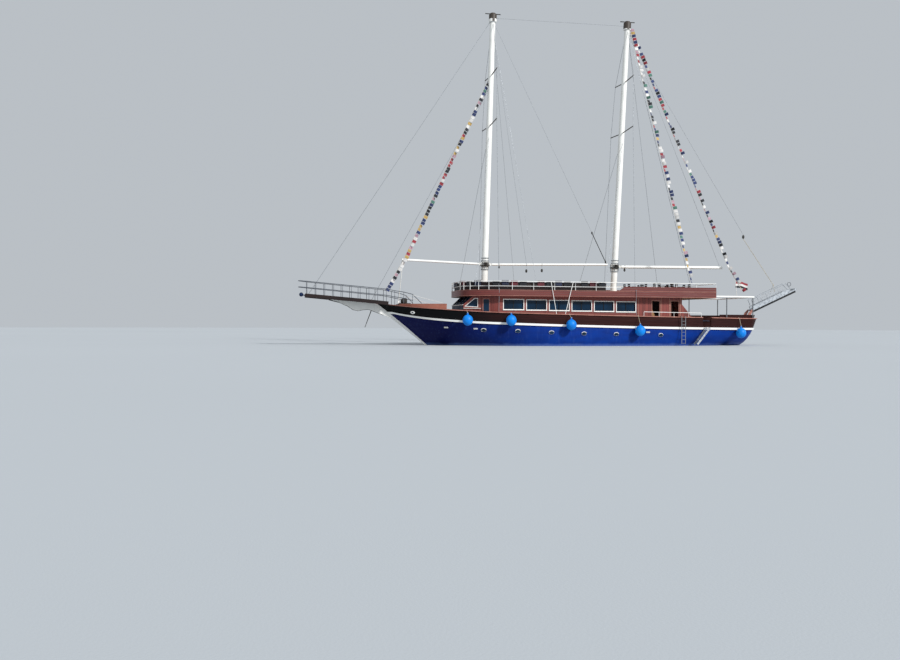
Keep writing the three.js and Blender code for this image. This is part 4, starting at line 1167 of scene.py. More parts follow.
@dataclass
class HullFittings:
    """Portholes, drain plates, hawse plates and the rods below the shrouds."""

    ports: tuple[Pair, ...] = (
        (8.49, 1.14), (6.11, 1.07), (3.67, 0.97), (1.24, 0.9), (-1.22, 0.86), (-4.72, 0.8)
    )  # fmt: skip
    port_radius: float = 0.145
    port_width: float = 1.5
    drains: tuple[Pair, ...] = ((11.04, 1.3), (9.05, 1.22), (-3.7, 1.0))
    drain: Pair = (0.14, 0.045)
    drain_rim: float = 0.028
    hawse: Pair = (13.37, 2.36)
    hawse_ring: tuple[Pair, ...] = ((0.05, 0.0), (0.055, 0.02), (0.09, 0.03), (0.12, 0.0))
    rods: tuple[Pair, ...] = ((7.45, 3.2), (-2.85, 3.3))
    rod_inset: float = 0.215
    rod_top: float = 4.05

    def build(self) -> None:
        """Both sides."""
        for side in Side:
            self.portholes(side)
            self.plates(side)
            self.chain_rods(side)

    def portholes(self, side: Side) -> None:
        """Oval lights: a painted flange, a steel rim, four bolts, domed glass and a white eyebrow, whose
        white along the rim's top is partly painted highlight.

        Args:
            side: The side of the boat.
        """
        shape = Shape()
        r = self.port_radius
        flange = [(r * 0.9, 0.0), (r * 0.9, 0.02), (r * 1.2, 0.02), (r * 1.28, 0.012), (r * 1.3, 0.0)]
        rim = [(r * 0.8, 0.0), (r * 0.8, 0.026), (r * 0.84, 0.034), (r * 0.9, 0.034), (r * 0.94, 0.02)]
        for x, z in self.ports:
            place, normal = outer_face("hull", side, x, z)
            turn = facing(place + normal * 0.002, normal)
            round_it = turn.to_3x3().to_4x4()
            wide = turn @ Matrix.Diagonal((self.port_width, 1, 1, 1))
            shape.finish = 0
            shape.lathe(wide, rim)
            for bolt in around(r * 1.06, range(45, 360, 90)):
                shape.ball(wide @ Vector((*bolt, 0.02)), (0.012, 0.012, 0.008), round_it, 4)
            shape.finish = 1
            shape.ball(turn @ Vector((0, 0, 0.002)), (r * 1.3, r * 0.86, 0.026), round_it)
            shape.finish = 2
            shape.lathe(wide, flange)
            # The white eyebrow over the top of the rim: a rigol, and also a painted highlight of the glint
            # along each porthole's top.
            shape.finish = 3
            brow_highlight = around(r * 0.82, range(20, 161, 14))
            shape.rod([wide @ Vector((*point, 0.038)) for point in brow_highlight], 0.02, 6)
        finishes = [STAINLESS, TINTED_GLASS, HULL_ENAMEL, WHITE_ENAMEL]
        shape.done(side.named("portholes"), finishes, smooth=True)

    def plates(self, side: Side) -> None:
        """Drain plates along the hull, and the hawse plate with its ring at the bow.

        Args:
            side: The side of the boat.
        """
        shape = Shape()
        half, tall = self.drain
        for x, z in self.drains:
            turn = facing(*outer_face("hull", side, x, z))
            shape.finish = 0
            shape.frame(oblong(-half, -tall, half, tall), self.drain_rim, turn, 0.02)
            shape.finish = 1
            shape.box((0.02 - half, 0.02 - tall, -0.004), (half - 0.02, tall - 0.02, 0.006), 0.0, turn)
        turn = facing(*outer_face("bulwark", side, *self.hawse)) @ Matrix.Diagonal((1.5, 1, 1, 1))
        shape.finish = 0
        shape.lathe(turn, self.hawse_ring)
        shape.finish = 1
        shape.ball(turn.translation, (0.06, 0.06, 0.006), turn.to_3x3().to_4x4())
        shape.done(side.named("hull_plates"), [WHITE_ENAMEL, RUBBER], smooth=True)

    def chain_rods(self, side: Side) -> None:
        """Steel rods that take the shrouds' pull from the upper deck down inside the bulwark.

        Args:
            side: The side of the boat.
        """
        shape = Shape()
        for x, half in self.rods:
            edge = cap_edge(x, side)
            low = Vector((x, edge.y - self.rod_inset * side.value, edge.z - 0.3))
            top = side.at(x, half, self.rod_top)
            shape.rod((low, top), 0.016)
            shape.ball(top, 0.03, rings=6)
            shape.box((-0.03, -0.006, -0.14), (0.03, 0.006, 0.14), 0.004, Matrix.Translation(low))
        shape.done(side.named("chain_rods"), [STAINLESS], smooth=True)


@dataclass
class Fenders:
    """Round buoys of inflated vinyl, each hung by a rope from the cap rail."""

    count: int = 5
    radius: float = 0.37
    height: float = 1.06
    rope: float = 0.012
    neck: tuple[Pair, ...] = (
        (0.066, 0.0), (0.062, 0.02), (0.066, 0.03), (0.054, 0.04), (0.05, 0.06), (0.0, 0.07)
    )  # fmt: skip
    tail: float = 0.15

    def build(self) -> None:
        """Each buoy takes the place of its CAD node."""
        for k in range(1, self.count + 1):
            self.buoy(f"fender_{k}")

    def buoy(self, node: str) -> None:
        """One buoy: a ball with a ribbed neck and an eye, and its rope over the cap rail.

        Args:
            node: The CAD node's name.
        """
        low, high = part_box(node)
        tall = self.radius * self.height
        centre = Vector(((low[0] + high[0]) / 2, high[1] - self.radius * 0.95, low[2] + tall))
        ball = [(r, z * self.height) for r, z in around(self.radius, range(-90, 78, 12))]
        ball[0] = (0.0, -tall)
        top = tall - 0.01
        shape = Shape()
        shape.lathe(Matrix.Translation(centre), [*ball, *((r, top + z) for r, z in self.neck)], 32)
        eye = centre + UP * (top + 0.1)
        shape.hoop(tipped(eye), 0.045, 0.016, 14)
        shape.finish = 1
        edge = cap_edge(centre.x, Side.PORT)
        bend = Vector((centre.x, edge.y + 0.014, edge.z - 0.03))
        over = Vector((centre.x, edge.y - 0.01, edge.z + 0.014))
        shape.rod((eye, bend, over, over - Vector((0, self.tail, 0))), self.rope, 6)
        shape.ball(eye + UP * 0.04, (0.026, 0.026, 0.035), rings=5)
        shape.ball(over - Vector((0, self.tail, -0.004)), (0.03, 0.03, 0.02), rings=5)
        piece = shape.done(f"{node}_buoy", [BUOY_VINYL, ROPE], smooth=True)
        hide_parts(node)


@dataclass
class House:
    """Window frames, doors, ledges and trim of the saloon and the wheelhouse.

    The leaf of a door is given by its left, low, right and high edges.
    """

    first: float = 7.04
    wide: float = 1.58
    pitch: float = 1.717
    count: int = 6
    low: float = 2.51
    tall: float = 0.8
    slope: float = 0.012
    member: float = 0.06
    wall: float = 2.65
    out: float = 0.028
    corner: Pair = (7.32, 2.65)
    bow: Pair = (9.8, 2.0)
    side_light: tuple[Pair, ...] = ((1.51, 2.75), (2.5, 2.81), (1.75, 3.42), (1.51, 3.41))
    battens: tuple[float, ...] = (-3.3, -5.1, -5.78, -6.65)
    doorways: tuple[Pair, ...] = ((-4.98, -4.39), (-6.5, -5.9))
    leaf: tuple[float, float, float, float] = (0.67, 2.1, 1.17, 3.38)
    leaf_face: float = 0.046
    screen: Triple = (9.8, 0.0, 2.96)
    rake: Triple = (0.62, 0.0, 0.67)
    lights: tuple[Pair, ...] = ((-1.7, -0.64), (-0.54, 0.54), (0.64, 1.7))
    rail_posts: tuple[float, ...] = (-3.4, -4.6, -5.8, -7.0, -8.05)
    rail_inset: float = 0.13
    rail_height: float = 0.3
    cabin: tuple[Triple, Triple] = ((-6.3, -1.15, 1.44), (-3.6, 1.15, 3.57))
    cabin_battens: Triple = (-6.1, -4.9, -3.8)

    def build(self) -> None:
        """Both sides, then what crosses the boat."""
        for side in Side:
            self.saloon_frames(side)
            self.side_trim(side)
            self.door(side)
            self.handrail(side)
        self.windscreen()
        self.shade_pantry()

    def saloon_wall(self, side: Side) -> Matrix:
        """The flat frame of the saloon's side: X along it, Y up, Z outwards."""
        return facing(side.at(0, self.wall, 0), side.at(0, 1, 0))

    def beside(self, side: Side) -> Matrix:
        """The flat frame of the wheelhouse's side: X forward along it, Y up, Z outwards.

        Args:
            side: The side of the boat.

        Returns:
            The matrix of the frame.
        """
        run = Vector((self.bow[0] - self.corner[0], self.bow[1] - self.corner[1], 0)).normalized()
        turn = Matrix((side.at(run.x, run.y, 0), UP, side.at(-run.y, run.x, 0))).transposed().to_4x4()
        return Matrix.Translation(side.at(*self.corner, 0)) @ turn

    def saloon_frames(self, side: Side) -> None:
        """A white frame round each saloon window, a sliding pane's bar in it, and a sill.

        Args:
            side: The side of the boat.
        """
        shape = Shape()
        turn = self.saloon_wall(side)
        edge = self.member - 0.002
        for k in range(self.count):
            fore = self.first - k * self.pitch
            low = self.low + self.slope * (fore - self.member - 2.0)
            high = low + self.tall
            a, b = side.span(fore - self.wide, fore)
            shape.finish = 0
            shape.frame(oblong(a, low, b, high), self.member, turn, self.out)
            shape.box((a - 0.02, low - 0.02, 0), (b + 0.02, low, self.out + 0.03), 0.006, turn)
            shape.finish = 1
            left, right = (a + b) / 2 - 0.018, (a + b) / 2 + 0.018
            shape.box((left, low + edge, -0.075), (right, high - edge, -0.04), 0.004, turn)
        shape.done(side.named("window_frames"), [WHITE_ENAMEL, RUBBER])

    def side_trim(self, side: Side) -> None:
        """Frame of the wheelhouse's side light, the ledge under it, and battens on the walls.

        Args:
            side: The side of the boat.
        """
        shape = Shape()
        turn = self.beside(side)
        shape.frame(self.side_light, 0.045, turn, self.out)
        shape.box((1.3, 2.66, 0), (2.56, 2.7, 0.07), 0.01, turn)
        shape.finish = 1
        shape.box((1.36, 1.75, 0), (1.395, 3.56, 0.02), 0.005, turn)
        aft = self.saloon_wall(side)
        for x in self.battens:
            a, b = side.span(x - 0.03, x + 0.03)
            shape.box((a, 1.62, 0), (b, 3.53, 0.018), 0.005, aft)
        for doorway in self.doorways:
            a, b = side.span(*doorway)
            shape.frame(oblong(a - 0.06, 1.55, b + 0.06, 3.36), 0.06, aft, 0.022)
        shape.done(side.named("side_trim"), [WHITE_ENAMEL, CAP_VARNISH])

    def door(self, side: Side) -> None:
        """The sliding door's glass, its frame, and a pull.

        Args:
            side: The side of the boat.
        """
        shape = Shape()
        turn = self.beside(side) @ Matrix.Translation((0, 0, self.leaf_face))
        left, low, right, high = self.leaf
        shape.frame(oblong(*self.leaf), 0.045, turn, 0.014)
        shape.finish = 1
        shape.box((left + 0.04, low + 0.04, 0), (right - 0.04, high - 0.04, 0.006), 0.0, turn)
        shape.finish = 2
        x = right + 0.035
        pull = ((x, 2.55, 0), (x, 2.55, 0.03), (x, 2.8, 0.03), (x, 2.8, 0))
        shape.rod([turn @ Vector(point) for point in pull], 0.009)
        finishes = [CAP_VARNISH, TINTED_GLASS, STAINLESS]
        shape.done(side.named("door_light"), finishes, side.named("door"))

    def windscreen(self) -> None:
        """Frames round the three raked lights, wipers, and the ledge below them."""
        shape = Shape()
        turn = facing(Vector(self.screen), Vector(self.rake).normalized())
        for a, b in self.lights:
            shape.finish = 0
            shape.frame(oblong(a - 0.04, 0.075, b + 0.04, 0.81), 0.05, turn, 0.02)
            shape.finish = 1
            pivot = Vector(((a + b) / 2, 0.79, 0.03))
            tip = Vector(((a + b) / 2 + 0.2, 0.32, 0.03))
            shape.rod((turn @ pivot, turn @ tip), 0.008, 6)
            shape.rod([turn @ (tip + Vector((0, reach, 0))) for reach in (-0.2, 0.22)], 0.011, 6)
        shape.finish = 2
        shape.bar((9.83, -1.98, 2.93), (9.83, 1.98, 2.93), 0.06, 0.045, 0.01)
        shape.done("windscreen_frames", [RUBBER, STAINLESS, WHITE_ENAMEL])

    def handrail(self, side: Side) -> None:
        """Pale handrail on short posts above the cap rail, beside the after deck.

        Args:
            side: The side of the boat.
        """
        shape = Shape()
        feet = [cap_edge(x, side) - side.at(0, self.rail_inset, 0) for x in self.rail_posts]
        rise = UP * self.rail_height
        shape.rod([foot + rise for foot in feet], 0.018)
        for foot in feet:
            shape.rod((foot, foot + rise), 0.014)
            shape.lathe(Matrix.Translation(foot), [(0.035, 0.0), (0.035, 0.006), (0.016, 0.02)], 12)
        shape.done(side.named("side_handrail"), [WHITE_ENAMEL], smooth=True)

    def shade_pantry(self) -> None:
        """The closed cabin in the middle of the saloon's aft end, seen through the doorways, black as painted
        shade so that the doorways read dark.
        """
        shape = Shape()
        low, high = self.cabin
        shape.box(low, high, 0.01)
        for y in (low[1], high[1]):
            for x in self.cabin_battens:
                shape.box((x - 0.03, y - 0.012, 1.5), (x + 0.03, y + 0.012, 3.55), 0.005)
        # Black slats as painted shade inside the doorways.
        shape.done("shade_pantry", [BLACK_SLATS])


@dataclass
class Cushion:
    """A filled cushion: swollen from a block by cloth simulation, then seamed and channelled.

    Its origin is the middle of its underside, its length lies along X and its thickness along Z.
    """

    long: float
    deep: float
    thick: float
    pitch: float = 0.0
    voxel: float = 0.028
    cap: float = 0.024
    fill: float = 0.7
    pressure: float = 4.0
    frames: int = 20
    seam_depth: float = 0.006
    channel_depth: float = 0.009

    def mesh(self) -> bpy.types.Mesh:
        """The sewn cushion as a mesh, ready to be copied.

        Returns:
            A mesh of its own, which the caller removes.
        """
        part = bmesh.new()
        inset = self.cap * 0.6
        size = (self.long - 2 * inset, self.deep - 2 * inset, self.thick - 1.2 * inset, 1)
        stand = Matrix.Translation((0, 0, self.thick / 2)) @ Matrix.Diagonal(size)
        bmesh.ops.create_cube(part, size=1, matrix=stand)
        ease(part, part.edges[:], self.thick * 0.3, 3)
        form = mesh_of("cushion_form", part)
        form = self.swell(form)
        return self.sew(form)

    def swell(self, form: bpy.types.Mesh) -> bpy.types.Mesh:
        """Blow the form up with Cloth, and cap how far each point moves.

        Args:
            form: The plain form.

        Returns:
            The blown up mesh.
        """
        piece = placed("cushion_form", form)
        remesh = piece.modifiers.new("remesh", "REMESH")
        remesh.mode = "VOXEL"
        remesh.voxel_size = self.voxel
        piece.data = self.applied(piece)
        rest = [vert.co.copy() for vert in piece.data.vertices]
        cloth = piece.modifiers.new("cloth", "CLOTH")
        cloth.settings.use_pressure = True
        cloth.settings.uniform_pressure_force = self.pressure
        cloth.settings.effector_weights.gravity = 0
        for frame in range(1, self.frames + 1):
            bpy.context.scene.frame_set(frame)
        blown = self.applied(piece)
        for vert, start in zip(blown.vertices, rest):
            move = vert.co - start
            vert.co = start + move * min(1.0, self.cap / max(move.length, HAIR))
            vert.co.z = max(vert.co.z, 0.0)
        bpy.data.objects.remove(piece)
        bpy.context.scene.frame_set(1)
        return blown

    def applied(self, piece: bpy.types.Object) -> bpy.types.Mesh:
        """The mesh of an object with its modifiers applied; the modifiers are taken off.

        Args:
            piece: The object.

        Returns:
            The mesh.
        """
        view = bpy.context.evaluated_depsgraph_get()
        made = bpy.data.meshes.new_from_object(piece.evaluated_get(view))
        piece.modifiers.clear()
        return made

    def sew(self, form: bpy.types.Mesh) -> bpy.types.Mesh:
        """Cut the seam round the edge and the channels across the top, and draw them in.

        Args:
            form: The form, plain or blown up.

        Returns:
            The sewn mesh.
        """
        part = bmesh.new()
        part.from_mesh(form)
        cuts = [(UP * (self.thick / 2), UP, self.seam_depth)]
        if self.pitch:
            count = round(self.long / self.pitch)
            places = [(k / count - 0.5) * self.long for k in range(1, count)]
            cuts += [(Vector((x, 0, 0)), Vector((1, 0, 0)), self.channel_depth) for x in places]
        for place, normal, depth in cuts:
            whole = part.verts[:] + part.edges[:] + part.faces[:]
            cut = bmesh.ops.bisect_plane(part, geom=whole, dist=0.0008, plane_co=place, plane_no=normal)
            part.normal_update()
            for item in cut["geom_cut"]:
                if isinstance(item, bmesh.types.BMVert) and (normal.z or item.co.z > self.thick * 0.3):
                    item.co -= item.normal * depth
        bmesh.ops.recalc_face_normals(part, faces=part.faces)
        return mesh_of("cushion", part)


@dataclass
class Cushions:
    """A row of like cushions as one padded piece."""

    name: str
    cushion: Cushion
    places: Sequence[Matrix]
    finishes: Sequence[Finish]
    slot: str | None = None
    body: str = "boat"

    def build(self) -> bpy.types.Object:
        """Copy the cushion to each place, with the finishes mixed.

        Returns:
            The padded piece.
        """
        shape = Shape()
        one = self.cushion.mesh()
        for k, place in enumerate(self.places):
            shape.finish = (k * 2 + k // 3) % len(self.finishes)
            part = bmesh.new()
            part.from_mesh(one)
            shape.join(part, place)
        bpy.data.meshes.remove(one)
        piece = shape.done(self.name, self.finishes, self.body, smooth=True)
        return piece


@dataclass
class Saloon:
    """Lockers and cushions along the saloon's sides, seen through the windows and doorways."""

    sides: Pair = (2.03, 2.55)
    reach: Pair = (-3.3, 6.3)
    seat: float = 1.87
    count: int = 6
    thick: float = 0.12
    channels: float = 0.52

    def build(self) -> None:
        """The lockers, then the cushions, in place of the plain seats."""
        lockers = Shape()
        places = []
        low, high = self.sides
        step = (self.reach[1] - self.reach[0]) / self.count
        for side in Side:
            for k in range(self.count):
                x = self.reach[0] + step * (k + 0.5)
                self.locker(lockers, side, x, step / 2)
                places.append(Matrix.Translation(side.at(x, (low + high) / 2 + 0.004, self.seat)))
        case = lockers.done("saloon_lockers", [UPRIGHT_VARNISH])
        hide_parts("saloon_seats")
        one = Cushion(step - 0.03, high - low, self.thick, self.channels)
        piece = Cushions("saloon_cushions", one, places, [LEATHERETTE], "upholstery").build()
        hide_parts("saloon_seats")

    def locker(self, shape: Shape, side: Side, x: float, half: float) -> None:
        """One locker under the seat, given its middle and half its length, with a framed front.

        Args:
            shape: The mesh that takes it.
            side: The side of the boat.
            x: Its middle along the boat.
            half: Half its length.
        """
        floor = top_face("main_deck", side.at(x, 2.2, 1.8)).z
        y = sorted(across * side.value for across in self.sides)
        shape.box((x - half + 0.01, y[0], floor), (x + half - 0.01, y[1], self.seat), 0.012)
        front = facing(side.at(x, self.sides[0], (floor + self.seat) / 2), side.at(0, -1, 0))
        wide, tall = half - 0.09, (self.seat - floor) / 2 - 0.05
        shape.frame(oblong(-wide, -tall, wide, tall), 0.05, front, 0.016)


@dataclass
class UpperDeck:
    """Seat cushions, pads over the bench backs, and the tables and chairs behind them."""

    deck: float = 3.76
    seat: float = 4.19
    start: float = -0.6
    seat_inset: float = 0.44
    seat_pitch: float = 0.93
    pad_inset: float = 0.155
    pad_pitch: float = 0.66
    pad_height: float = 4.46
    tables: tuple[Pair, ...] = ((-5.95, 1.55), (-4.35, -0.4), (-7.7, 0.1), (-6.0, -1.6), (-0.9, -0.7))
    chair_reach: Pair = (0.66, 0.62)
    column: tuple[Pair, ...] = ((0.26, 0.0), (0.25, 0.025), (0.05, 0.05), (0.035, 0.4), (0.05, 0.7))
    strip_heights: Pair = (3.585, 3.985)
    strip_out: float = 0.008

    def build(self) -> None:
        """Soft pieces first, then the furniture."""
        self.seats()
        self.pads()
        self.furniture()
        self.strips()

    def seats(self) -> None:
        """Cushions along the bench, navy, black and wine."""
        path = spaced(ROOF.round_front(self.seat_inset, self.start), self.seat_pitch)
        places = [standing(p + UP * self.seat, way) for p, way in path]
        one = Cushion(0.84, 0.35, 0.1)
        Cushions("bench_cushions", one, places, [CUSHION_CANVAS, BLACK_CANVAS, WINE_CANVAS]).build()

    def pads(self) -> None:
        """Pads hung over the outer face of the bench's back, with gaps among them."""
        path = ROOF.round_front(self.pad_inset, self.start)
        places = []
        for k, (p, way) in enumerate(spaced(path, self.pad_pitch)):
            if k % 5 == 3:
                continue
            up = standing(p + UP * (self.pad_height + 0.02 * (k % 3)), way) @ tipped((0, 0, 0))
            places.append(up @ Matrix.Translation((0, 0, -0.028)))
        one = Cushion(0.56, 0.42, 0.056, voxel=0.024, cap=0.012)
        Cushions("back_pads", one, places, [BLACK_CANVAS, CUSHION_CANVAS, WINE_CANVAS, BLACK_CANVAS]).build()

    def furniture(self) -> None:
        """Tables with four chairs each."""
        shape = Shape()
        for x, y in self.tables:
            self.table(shape, Vector((x, y, self.deck)))
            for ahead, across in around(1.0, range(45, 360, 90)):
                seat = Vector((x + ahead * self.chair_reach[0], y + across * self.chair_reach[1], self.deck))
                self.chair(shape, standing(seat, Vector((round(ahead), 0, 0))))
        shape.done("deck_furniture", [BLACK_SLATS, TARRED_IRON])

    def table(self, shape: Shape, foot: Vector) -> None:
        """A slatted top on a column with a turned foot.

        Args:
            shape: The mesh that takes it.
            foot: Where it stands.
        """
        shape.finish = 1
        shape.lathe(Matrix.Translation(foot), self.column, 16)
        shape.finish = 0
        stand = Matrix.Translation(foot)
        for k in range(5):
            y = (k - 2) * 0.15
            shape.box((-0.4, y - 0.07, 0.7), (0.4, y + 0.07, 0.73), 0.006, stand)

    def chair(self, shape: Shape, place: Matrix) -> None:
        """A folding chair with a slatted seat and back, its back towards the matrix's X.

        Args:
            shape: The mesh that takes it.
            place: Where it stands.
        """
        for y in (-0.2, 0.2):
            shape.finish = 1
            for leg in (((-0.2, y, 0.0), (0.2, y, 0.5), (0.24, y, 0.93)), ((0.2, y, 0.0), (-0.2, y, 0.43))):
                shape.rod([place @ Vector(point) for point in leg], 0.014, 6)
        shape.finish = 0
        for k in range(4):
            x = -0.17 + k * 0.11
            shape.box((x - 0.045, -0.21, 0.43), (x + 0.045, 0.21, 0.45), 0.004, place)
        for z in (0.6, 0.74, 0.88):
            shape.bar(place @ Vector((0.225, -0.21, z)), place @ Vector((0.225, 0.21, z)), 0.016, 0.1, 0.004)

    def strips(self) -> None:
        """Pale strips along the top and the bottom of the fascia."""
        shape = Shape()
        port = ROOF.port(-self.strip_out)
        path = port + [Vector((p.x, -p.y, 0)) for p in reversed(port)]
        for z in self.strip_heights:
            whole = [p + UP * z for p in path]
            for start, end in zip(whole, whole[1:]):
                shape.bar(start, end + (end - start).normalized() * 0.012, 0.02, 0.03, 0.004)
        shape.done("fascia_strips", [CAP_VARNISH])


@dataclass
class Bow:
    """What the bow carries: boards, a ball, an iron strut, hand lines and a tackle."""

    stem: Triple = (20.86, 0.0, 3.53)
    tip: Triple = (21.2, 0.0, 3.62)
    rise: float = 76.0
    ball: float = 0.15
    boom_end: Triple = (13.9, 0.0, 6.2)
    board: Pair = (0.034, 0.26)
    edge: tuple[Triple, ...] = (
        (15.06, 0.9, 3.141), (15.95, 0.854, 3.227), (17.0, 0.8, 3.33), (20.9, 0.6, 3.66)
    )  # fmt: skip
    strut: tuple[Triple, Triple] = ((16.15, 0.0, 2.62), (16.64, 0.0, 1.31))
    knee: tuple[Pair, ...] = (
        (19.25, 3.25), (18.45, 3.06), (17.9, 2.82), (17.5, 2.56), (17.15, 2.49), (16.8, 2.56), (16.4, 2.6),
        (15.3, 2.19)
    )  # fmt: skip
    hand_post: Triple = (13.4, 1.66, 3.6)
    hand_eye: Triple = (11.25, 2.15, 4.0)
    tackle_eye: Triple = (14.2, 0.0, 3.7)

    def build(self) -> None:
        """Each group of fittings."""
        self.tip_ball()
        self.side_boards()
        self.striker()
        self.hand_lines()
        self.tackle()

    def tip_ball(self) -> None:
        """A turned ball on a stem at the end of the platform."""
        shape = Shape()
        reach = (Vector(self.tip) - Vector(self.stem)).length
        stem = [(0.07, 0.0), (0.07, 0.03), (0.035, 0.06), (0.035, reach - self.ball)]
        ball = [(r, reach + z) for r, z in around(self.ball, range(-72, 91, 18))]
        shape.lathe(tipped(self.stem, "Y", self.rise), [*stem, *ball])
        shape.done("tip_ball", [NAVY_ENAMEL_AND_SHADE], smooth=True)

    def side_boards(self) -> None:
        """Dark boards that cover the platform's edges, along both sides and across its tip."""
        shape = Shape()
        down = DOWN * (self.board[1] / 2 - 0.012)
        for side in Side:
            edge = [side.at(x, half + self.board[0] / 2 + 0.002, z) + down for x, half, z in self.edge]
            for start, end in zip(edge, edge[1:]):
                shape.bar(start, end, *self.board, 0.006)
        x, half, z = self.edge[-1]
        shape.bar(*(side.at(x + 0.02, half + 0.03, z) + down for side in Side), *self.board, 0.006)
        shape.done("platform_boards", [BLACK_SLATS])

    def striker(self) -> None:
        """The iron strut that hangs below the platform, and the iron along the knee's lower edge."""
        shape = Shape()
        shape.rod(self.strut, 0.035, 10, tip=0.02)
        shape.ball(Vector(self.strut[0]) + DOWN * 0.02, 0.06)
        shape.rod([(x, 0, z) for x, z in self.knee], 0.03, 8)
        shape.ball(self.strut[1], 0.03, rings=5)
        shape.done("striker", [TARRED_IRON], smooth=True)

    def hand_lines(self) -> None:
        """White ropes from the first rail posts down to eyes on the foredeck's after edge."""
        for side in Side:
            shape = Shape()
            top = side.at(*self.hand_post)
            foot = top_face("foredeck", side.at(*self.hand_eye)) + UP * 0.02
            shape.line(top, foot, 0.011, 10)
            shape.hoop(Matrix.Translation(top), 0.026, 0.012, 10)
            shape.finish = 1
            shape.hoop(tipped(foot), 0.028, 0.008)
            shape.done(side.named("hand_line"), [BLEACHED_ROPE, STAINLESS], smooth=True)

    def tackle(self) -> None:
        """The fore boom's tackle down to the foredeck, with its blocks."""
        foot = top_face("foredeck", Vector(self.tackle_eye))
        start, end = foot + UP * 0.2, Vector(self.boom_end)
        shape = Shape()
        for side in Side:
            aside = side.at(0, 0.03, 0)
            shape.line(start + aside, end + aside + DOWN * 0.2, 0.02, 16)
        ropes = shape.done("fore_tackle", [BLEACHED_ROPE], body=None, smooth=True)
        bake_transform(ropes)
        self.block("fore_tackle_foot", foot + UP * 0.13, "boat", WHITE_ENAMEL)
        self.block("fore_tackle_head", end + DOWN * 0.16, "fore_boom", TARRED_IRON)

    def block(self, name: str, place: Vector, body: str, finish: Finish) -> None:
        """A block with its shackles, as a piece of its own.

        Args:
            name: Its name.
            place: Its middle.
            body: The body it moves with.
            finish: Finish of its cheeks.
        """
        shape = Shape()
        pulley(shape, place, 0.22)
        shape.done(name, [finish, STAINLESS], body, smooth=True)


def pulley(shape: Shape, place: Vector, tall: float) -> None:
    """A rigging block: two cheeks, a sheave between them, and a shackle at each end.

    Args:
        shape: The mesh that takes it, whose first finish is the cheeks' and second the steel's.
        place: The block's middle.
        tall: Height of its cheeks.
    """
    half = tall / 2
    shape.finish = 0
    for y in (-0.032, 0.032):
        shape.ball(place + Vector((0, y, 0)), (tall * 0.3, 0.016, half))
    shape.finish = 1
    rim, groove = tall * 0.27, tall * 0.22
    sheave = [(0.0, -0.016), (rim, -0.016), (groove, 0), (rim, 0.016), (0.0, 0.016)]
    shape.lathe(tipped(place), sheave, 14)
    for z in (-half, half):
        shape.hoop(tipped(place + UP * z), 0.022, 0.006, 10)


